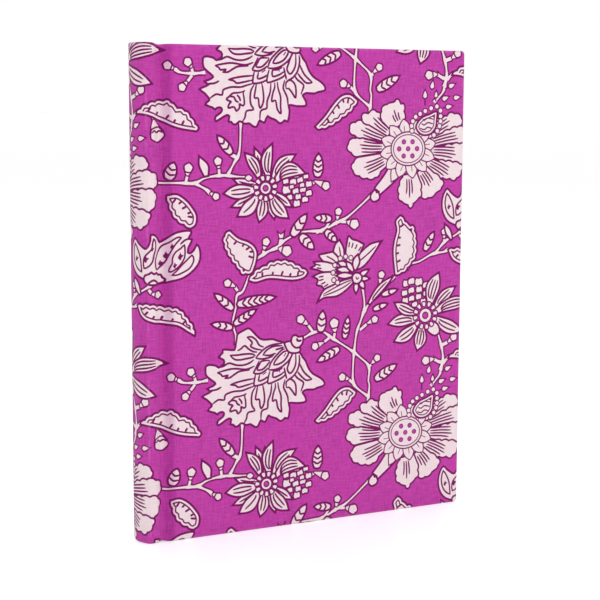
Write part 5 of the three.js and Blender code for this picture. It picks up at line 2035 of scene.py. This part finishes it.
@dataclass(frozen=True)
class TextBlock:
    """The sewn sections: folded sheets that part at the gutter."""

    book: BookSizes = BOOK
    straight: float = 1.2
    soft: float = 0.9
    bend_steps: int = 9
    curve_steps: int = 7
    fold_steps: int = 6

    @property
    def page_low(self) -> float:
        """Height of the pages' tail."""
        return self.book.square

    @property
    def page_high(self) -> float:
        """Height of the pages' head."""
        return self.book.case_height - self.book.square

    @property
    def pitch(self) -> float:
        """From one section to the next."""
        return self.book.section + self.book.leaf_air

    @property
    def half_block(self) -> float:
        """Half of the block's thickness."""
        return self.book.section_count * self.pitch / 2

    @property
    def fold_radius(self) -> float:
        """Radius of the rounded back, outside the folds."""
        return self.book.spine_radius - self.book.spine_gap

    def fold_angle(self, index: int) -> float:
        """Where a section's fold lies on the rounded back, in radians from its middle."""
        return (index - (self.book.section_count - 1) / 2) * self.book.fold_pitch / self.fold_radius

    def fore_edge(self, depth: float) -> float:
        """The hollow fore-edge at one depth in the block.

        Args:
            depth: distance from the block's middle.

        Returns:
            The edge's X.
        """
        widest = self.fold_angle(self.book.section_count - 1)
        hollow = self.fold_radius * (1 - math.cos(widest))
        share = min(abs(depth) / self.half_block, 1)
        return self.book.fore_x - self.book.square - hollow * (1 - share**2)

    def middle_line(self, index: int) -> Outline:
        """A section's middle, from the gutter's near side to the centre of its fold.

        Args:
            index: the section, counted from the front.

        Returns:
            X and Y along it.
        """
        b = self.book
        depth = (index - (b.section_count - 1) / 2) * self.pitch
        angle = self.fold_angle(index)
        radius = self.fold_radius - b.section / 2
        end = np.array([b.arc_x - radius * math.cos(angle), radius * math.sin(angle)])
        start = np.array([b.gutter_x - self.straight, depth])
        if abs(angle) < NEAR:
            control = (start + end) / 2
        else:
            control = np.array([end[0] + (end[1] - depth) / math.tan(angle), depth])
        t = np.linspace(0, 1, self.curve_steps)[:, None]
        return (1 - t) ** 2 * start + 2 * t * (1 - t) * control + t**2 * end

    def folded_path(self, index: int, layer: int) -> Outline:
        """One folded sheet seen from above, from its front fore-edge round the fold to its back one.

        Args:
            index: the section, counted from the front.
            layer: 0 for the sheet in the middle of the section.

        Returns:
            X and Y along the sheet.
        """
        b = self.book
        off = (layer + 0.5) * (b.leaf + b.leaf_air)
        line = self.middle_line(index)
        run = unit(np.gradient(line, axis=0))
        normal = -left_of(run)
        depth = line[0, 1]
        near = np.linspace(b.gutter_x - self.straight + 0.15, b.gutter_x + self.straight, self.bend_steps)
        sides = []
        for sign in (1, -1):
            y = depth - sign * off if normal[0, 1] < 0 else depth + sign * off
            x = np.concatenate([[self.fore_edge(y)], FLAT_X[::-1], near[::-1]])
            flat = np.stack([x, np.full_like(x, y)], axis=1)
            sides.append(np.vstack([flat, line + normal * off * sign]))
        ahead, aside = run[-1], normal[-1]
        turn = np.linspace(0, math.pi, self.fold_steps)[1:-1, None]
        bend = line[-1] + off * (np.cos(turn) * aside + np.sin(turn) * ahead)
        return np.vstack([sides[0], bend, sides[1][::-1]])

    def sheets(self, index: int, half: int = 0) -> list[bpy.types.Object]:
        """The folded sheets of a section, or one half of each.

        Args:
            index: the section, counted from the front.
            half: 0 for whole sheets, -1 for their front halves, 1 for their back halves.

        Returns:
            The sheets, innermost first.
        """
        made = []
        for layer in range(self.book.leaves_per_section // 2):
            path = self.folded_path(index, layer)
            if half:
                top = path[:, 0].argmin()
                tip = np.array([[path[top, 0], self.middle_line(index)[-1, 1]]])
                first = np.vstack([path[:top], tip])
                last = np.vstack([tip, path[top + 1:]])
                front, back = (first, last) if path[0, 1] < path[-1, 1] else (last, first)
                path = front if half < 0 else back
            leaf = laid_sheet(f"sheet_{index}_{layer}", path, (self.page_low, self.page_high))
            thicken(leaf, self.book.leaf)
            made.append(leaf)
        return made

    def build(self, finish: bpy.types.Material) -> None:
        """Models every section and hides the CAD nodes it stands for.

        Args:
            finish: the paper.
        """
        b = self.book
        middle = b.section_count // 2
        for index in range(b.section_count):
            halves = ((-1, "front_"), (1, "back_")) if index == middle else ((0, ""),)
            for half, word in halves:
                number = index + 1
                leaves = joined(f"folded_section_{number}_{word}sheets", self.sheets(index, half))
                smooth(leaves, SHARP_PAPER)
                leaves.data.materials.append(finish)
                body = f"section_{number}_{word}leaves"
                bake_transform(leaves)
                nodes = [body]
                if half <= 0:
                    nodes.append(f"section_{number}_fold")
                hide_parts(*nodes)
                LOG.info("section %d %s: %d faces", number, word or "whole", len(leaves.data.polygons))


@dataclass(frozen=True)
class Endpaper:
    """A folded endpaper: one half pasted to the board over the turn-ins, one half free."""

    book: BookSizes = BOOK
    thickness: float = 0.2
    edge: float = 3.2
    rim_depth: float = 5.268
    gutter_depth: float = 5.708
    free_depth: float = 5.048
    sink: float = 0.42
    slope: float = 0.9
    hairpin: float = 1.6
    soft: float = 0.9
    cover_soft: float = 1.8
    margin: float = 4.0
    far: float = 60.0
    close: tuple[float, float, int] = (-1.0, 1.6, 9)

    def hairpin_bend(self) -> Outline:
        """The fold of the endpaper at the joint, from the pasted half to the free half.

        Returns:
            X and depth along the bend.
        """
        b = self.book
        half = (self.gutter_depth - self.free_depth) / 2
        centre = np.array([b.gutter_x - self.hairpin + half, self.free_depth + half])
        return centre + half * ray(np.linspace(math.pi / 2, 3 * math.pi / 2, 7))

    def build(self, side: Side, finish: bpy.types.Material) -> None:
        """Models both halves for one cover."""
        self.pasted(side, finish)
        self.free(side, finish)

    def pasted(self, side: Side, finish: bpy.types.Material) -> None:
        """The half pasted on the board, with the turn-ins showing through it.

        Args:
            side: the cover it is pasted to.
            finish: the paper.
        """
        b = self.book
        bend = self.hairpin_bend()
        close = b.gutter_x + np.linspace(*self.close)
        inner = b.fore_x - b.turn_in
        steps = [*(b.board_spine_x + away for away in (-0.9, -0.3, 0.4)), -50.0, -25.0, 0.0, 25.0, 50.0,
                 inner - self.slope, inner - self.slope / 2, inner, 66.0, b.fore_x - self.edge]
        x = np.concatenate([close, steps])
        level = np.interp(x, [b.gutter_x + 0.6, b.board_spine_x], [self.gutter_depth, self.rim_depth])
        path = np.vstack([bend[:4][::-1], np.stack([x, level], axis=1)])
        sheet = self.upright(f"{side.word}_endpaper_pasted", path, self.edge, side)
        place = points_of(sheet)
        x, z = place[:, 0], place[:, 2]
        away = (inner - x, z - b.turn_in, b.case_height - b.turn_in - z, x - b.board_spine_x - 0.5)
        share = np.clip(np.minimum.reduce(away) / self.slope, 0, 1)
        place[:, 1] += side.value * self.sink * share * share * (3 - 2 * share)
        put_points(sheet, place)
        self.finished(sheet, finish, [f"{side.word}_pastedown"])

    def free(self, side: Side, finish: bpy.types.Material) -> None:
        """The free half, the first leaf.

        Args:
            side: the cover it lies against.
            finish: the paper.
        """
        b = self.book
        bend = self.hairpin_bend()
        close = b.gutter_x + np.linspace(*self.close)
        x = np.concatenate([close, FLAT_X, [b.fore_x - b.square]])
        path = np.vstack([bend[3:], np.stack([x, np.full_like(x, self.free_depth)], axis=1)])
        sheet = self.upright(f"{side.word}_endpaper_free", path, b.square, side)
        body = f"{side.word}_flyleaf"
        self.finished(sheet, finish, [body, f"{side.word}_endpaper_fold"])

    def upright(self, name: str, path: Outline, low: float, side: Side) -> bpy.types.Object:
        """A half of the endpaper on one side of the book, without its thickness.

        Args:
            name: the object's name.
            path: X and depth along the sheet.
            low: height of its tail, as far from the case's as its head is.
            side: the cover it belongs to.

        Returns:
            The open sheet, with rows of points where the turn-ins show through.
        """
        turn_in, case = self.book.turn_in, self.book.case_height
        heights = np.array([low, low + self.margin, turn_in, turn_in + self.slope / 2,
                            turn_in + self.slope, self.far, case / 2])
        rows = np.unique(np.concatenate([heights, case - heights]))
        return laid_sheet(name, path * (1, side.value), rows[(rows >= low) & (rows <= case - low)])

    def finished(self, sheet: bpy.types.Object, finish: bpy.types.Material,
                 nodes: list[str]) -> None:
        """Gives a half its thickness and its paper, and hides the CAD nodes it stands for.

        Args:
            sheet: the half, still open.
            finish: the paper.
            nodes: the CAD nodes it stands for.
        """
        thicken(sheet, self.thickness)
        smooth(sheet, SHARP_SHEET)
        sheet.data.materials.append(finish)
        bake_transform(sheet)
        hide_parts(*nodes)


@dataclass(frozen=True)
class WorkedBand:
    """A headband: silk wound over a core in two colours, on a tongue glued down the back."""

    book: BookSizes = BOOK
    bead: float = 0.8
    wraps: int = 36
    around: int = 12
    per_wrap: int = 4
    ridge: float = 0.07
    sink: float = 0.6
    closed: float = 0.25
    closing: float = 1.5
    tongue: float = 8.0
    tongue_thickness: float = 0.2
    tongue_steps: int = 25
    reach: float = 0.636

    def build(self, name: str, edge: float, up: int, finish: bpy.types.Material, block: TextBlock) -> None:
        """Models one band.

        Args:
            name: the CAD node it stands for.
            edge: height of the pages' edge.
            up: 1 at the head, -1 at the tail.
            finish: its material.
            block: the sections it sits on.
        """
        b = self.book
        radius = block.fold_radius - self.bead * self.sink
        height = edge + up * (self.bead + b.glue)
        rings = self.wraps * self.per_wrap
        bpy.ops.object.select_all(action="DESELECT")
        bpy.ops.mesh.primitive_cylinder_add(vertices=self.around, radius=self.bead * MM, depth=1,
                                            end_fill_type="NGON")
        bead = bpy.context.object
        bead.name = bead.data.name = f"worked_{name}"
        bpy.ops.object.mode_set(mode="EDIT")
        shape = bmesh.from_edit_mesh(bead.data)
        sides = [e for e in shape.edges if abs(e.verts[0].co.z - e.verts[1].co.z) > 0.5]
        bmesh.ops.subdivide_edges(shape, edges=sides, cuts=rings - 1)
        for v in shape.verts:
            share = v.co.z + 0.5
            swell = 1 + self.ridge * abs(math.sin(math.pi * share * self.wraps)) - self.ridge
            close = min(share, 1 - share) * self.wraps / self.closing
            swell *= math.sqrt(min(1.0, self.closed + close))
            turn = (2 * share - 1) * self.reach
            r = radius * MM + v.co.x * swell
            z = height * MM + v.co.y * swell * up
            v.co = Vector((b.arc_x * MM - r * math.cos(turn), r * math.sin(turn), z))
        bmesh.ops.recalc_face_normals(shape, faces=shape.faces)
        bmesh.update_edit_mesh(bead.data)
        bpy.ops.object.mode_set(mode="OBJECT")
        worked = bead.data.attributes.new("worked", "FLOAT", "POINT")
        worked.data.foreach_set("value", np.ones(len(bead.data.vertices), np.float32))
        back = block.fold_radius + b.glue + self.tongue_thickness / 2
        turn = np.linspace(-self.reach, self.reach, self.tongue_steps)
        path = (b.arc_x, 0.0) + back * ray(turn) * (-1, 1)
        ends = sorted((edge - up * self.tongue, edge + up * self.bead))
        strip = laid_sheet(f"{name}_tongue", path, ends)
        thicken(strip, self.tongue_thickness)
        band = joined(f"worked_{name}", [bead, strip])
        smooth(band, SHARP_CLOTH)
        band.data.materials.append(finish)
        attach(band, "root")
        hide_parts(name)


@dataclass(frozen=True)
class Studio:
    """The white table, the lamps and the photograph's camera."""

    eye: tuple[float, float, float] = (-278.8, -549.0, 177.4)
    aim: tuple[float, float, float] = (0.4485, 0.8841, -0.1312)
    roll: float = 0.22
    lens: float = 86.94
    sensor: float = 36.0
    floor_size: float = 400.0
    floor_lift: float = 0.34
    lamp_share: float = 0.76
    lamp_aim: float = 0.1
    world_dim: float = 0.47
    lamps: tuple[tuple[str, tuple[float, float, float], float, float], ...] = (
        ("key_lamp", (-0.9, -1.1, 1.1), 1.1, 11.0),
        ("fill_lamp", (1.0, -0.9, 0.8), 1.2, 7.0),
        ("top_lamp", (0.0, 0.1, 1.5), 1.6, 8.0),
        ("back_lamp", (0.3, 1.4, 0.9), 1.2, 6.0),
    )

    def camera(self) -> bpy.types.Object:
        """Sets up the camera where the photograph was taken from.

        Returns:
            The camera.
        """
        data = bpy.data.cameras.new("camera")
        data.lens, data.sensor_width, data.sensor_fit = self.lens, self.sensor, "HORIZONTAL"
        data.clip_start, data.clip_end = 0.01, 50
        cam = bpy.data.objects.new("camera", data)
        bpy.context.scene.collection.objects.link(cam)
        aim = Vector(self.aim).to_track_quat("-Z", "Y").to_matrix().to_4x4()
        turn = Matrix.Rotation(math.radians(self.roll), 4, "Z")
        cam.matrix_world = Matrix.Translation(Vector(self.eye) * MM) @ aim @ turn
        bpy.context.scene.camera = cam
        return cam

    def floor(self) -> bpy.types.Object:
        """A wide table, white to the camera, that keeps the book's soft shadow.

        Returns:
            The table.
        """
        bpy.ops.object.select_all(action="DESELECT")
        bpy.ops.mesh.primitive_plane_add(size=self.floor_size, location=(0, 0, 0))
        table = bpy.context.object
        table.name = "table_top"
        table.data.materials.append(self.table_finish())
        return table

    def table_finish(self) -> bpy.types.Material:
        """Plain white, a little glossy, lifted to white where the camera sees it straight.

        Returns:
            The material.
        """
        material = bpy.data.materials.new("table_white")
        material.use_nodes = True
        r = Recipe(material.node_tree)
        shader = next(n for n in r.tree.nodes if n.type == "BSDF_PRINCIPLED")
        seen = r.node("ShaderNodeLightPath").outputs["Is Camera Ray"]
        r.fill(shader, Base_Color=(0.93, 0.93, 0.93, 1), Roughness=0.34, Specular_IOR_Level=0.35,
               Emission_Color=WHITE, Emission_Strength=r.times(seen, self.floor_lift))
        return material

    def light(self) -> None:
        """Soft lamps at the left, the right and above, and a pale world."""
        for name, at, size, watts in self.lamps:
            data = bpy.data.lights.new(name, "AREA")
            data.shape, data.size, data.energy = "SQUARE", size, watts * self.lamp_share
            lamp = bpy.data.objects.new(name, data)
            bpy.context.scene.collection.objects.link(lamp)
            lamp.location = at
            lamp.rotation_mode = "QUATERNION"
            lamp.rotation_quaternion = (Vector((0, 0, self.lamp_aim)) - Vector(at)).to_track_quat("-Z", "Y")
        world = bpy.data.worlds.new("studio")
        bpy.context.scene.world = world
        world.use_nodes = True
        r = Recipe(world.node_tree)
        background = next(n for n in r.tree.nodes if n.type == "BACKGROUND")
        path = r.node("ShaderNodeLightPath")
        seen = r.math("MAXIMUM", path.outputs["Is Camera Ray"], path.outputs["Is Glossy Ray"])
        r.fill(background, Color=WHITE, Strength=r.step(seen, 0.0, 1.0, self.world_dim, 1.0))
        bpy.context.scene.view_settings.view_transform = "Standard"


@dataclass
class Bindery:
    """Builds every part of the book's look in the order it is bound."""

    nodes: dict[str, bpy.types.Object]
    shop: FinishShop = field(default_factory=FinishShop)
    book: BookSizes = BOOK

    def dress(self, finish: bpy.types.Material, *names: str) -> None:
        """Gives several CAD nodes one finish.

        Args:
            finish: their material.
            names: the nodes.
        """
        for name in names:
            node = self.nodes[name]
            if not node.material_slots:
                node.data.materials.append(finish)
            for slot in node.material_slots:
                slot.material = finish

    def cover(self) -> None:
        """The printed case cloth."""
        cloth = self.shop.printed_cotton()
        printed = TrailingFloral().draw()
        case = CaseCloth()
        for side in Side:
            case.fit(case.build(side, printed), side, cloth)

    def pages(self) -> None:
        """The sewn sections, the endpapers and the bands."""
        block = TextBlock()
        block.build(self.shop.paper("leaf_paper", Paper(srgb(252, 249, 242), srgb(232, 218, 190), 0.6)))
        endpaper = self.shop.paper("endpaper", Paper(srgb(253, 250, 245), srgb(236, 224, 200), 1.0))
        for side in Side:
            Endpaper().build(side, endpaper)
        band = WorkedBand()
        silk = self.shop.band_silk(band.wraps, band.reach)
        band.build("headband", block.page_high, 1, silk, block)
        band.build("tailband", block.page_low, -1, silk, block)

    def hidden_parts(self) -> None:
        """Finishes for the boards, the linings and the sewing."""
        shop = self.shop
        sides = [side.word for side in Side]
        grey = Fibre(srgb(166, 150, 126), srgb(136, 122, 101), 900.0)
        self.dress(shop.fibre("grey_board", grey), *(f"{w}_board" for w in sides))
        card = Fibre(srgb(188, 172, 146), srgb(162, 147, 123), 1200.0)
        self.dress(shop.fibre("spine_card", card), "spine_stiffener")
        lining = Fibre(srgb(226, 214, 190), srgb(206, 193, 168), 1500.0)
        self.dress(shop.fibre("lining_paper", lining), "spine_lining")
        gauze = shop.woven("mull_gauze", Woven(srgb(234, 227, 211), 0.9, 0.75))
        self.dress(gauze, "mull", *(f"{w}_mull_flange" for w in sides))
        tape = shop.woven("cotton_tape", Woven(srgb(240, 234, 219), 1.6, 0.4))
        slips = [f"{w}_tape_slip_{k}" for w in sides for k in (1, 2, 3)]
        self.dress(tape, "tape_1", "tape_2", "tape_3", *slips)
        thread = shop.woven("linen_thread", Woven(srgb(238, 230, 212), 3.0, 0.4))
        self.dress(thread, *(f"sewing_thread_{k}" for k in range(1, self.book.section_count + 1)))


def main() -> None:
    """Builds the book round its frame."""
    logging.basicConfig(level=logging.INFO, format="%(message)s")
    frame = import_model()
    studio = Studio()
    studio.camera()
    studio.floor()
    studio.light()
    bindery = Bindery(frame["nodes"])
    bindery.cover()
    bindery.pages()
    bindery.hidden_parts()


if __name__ == "__main__":
    main()
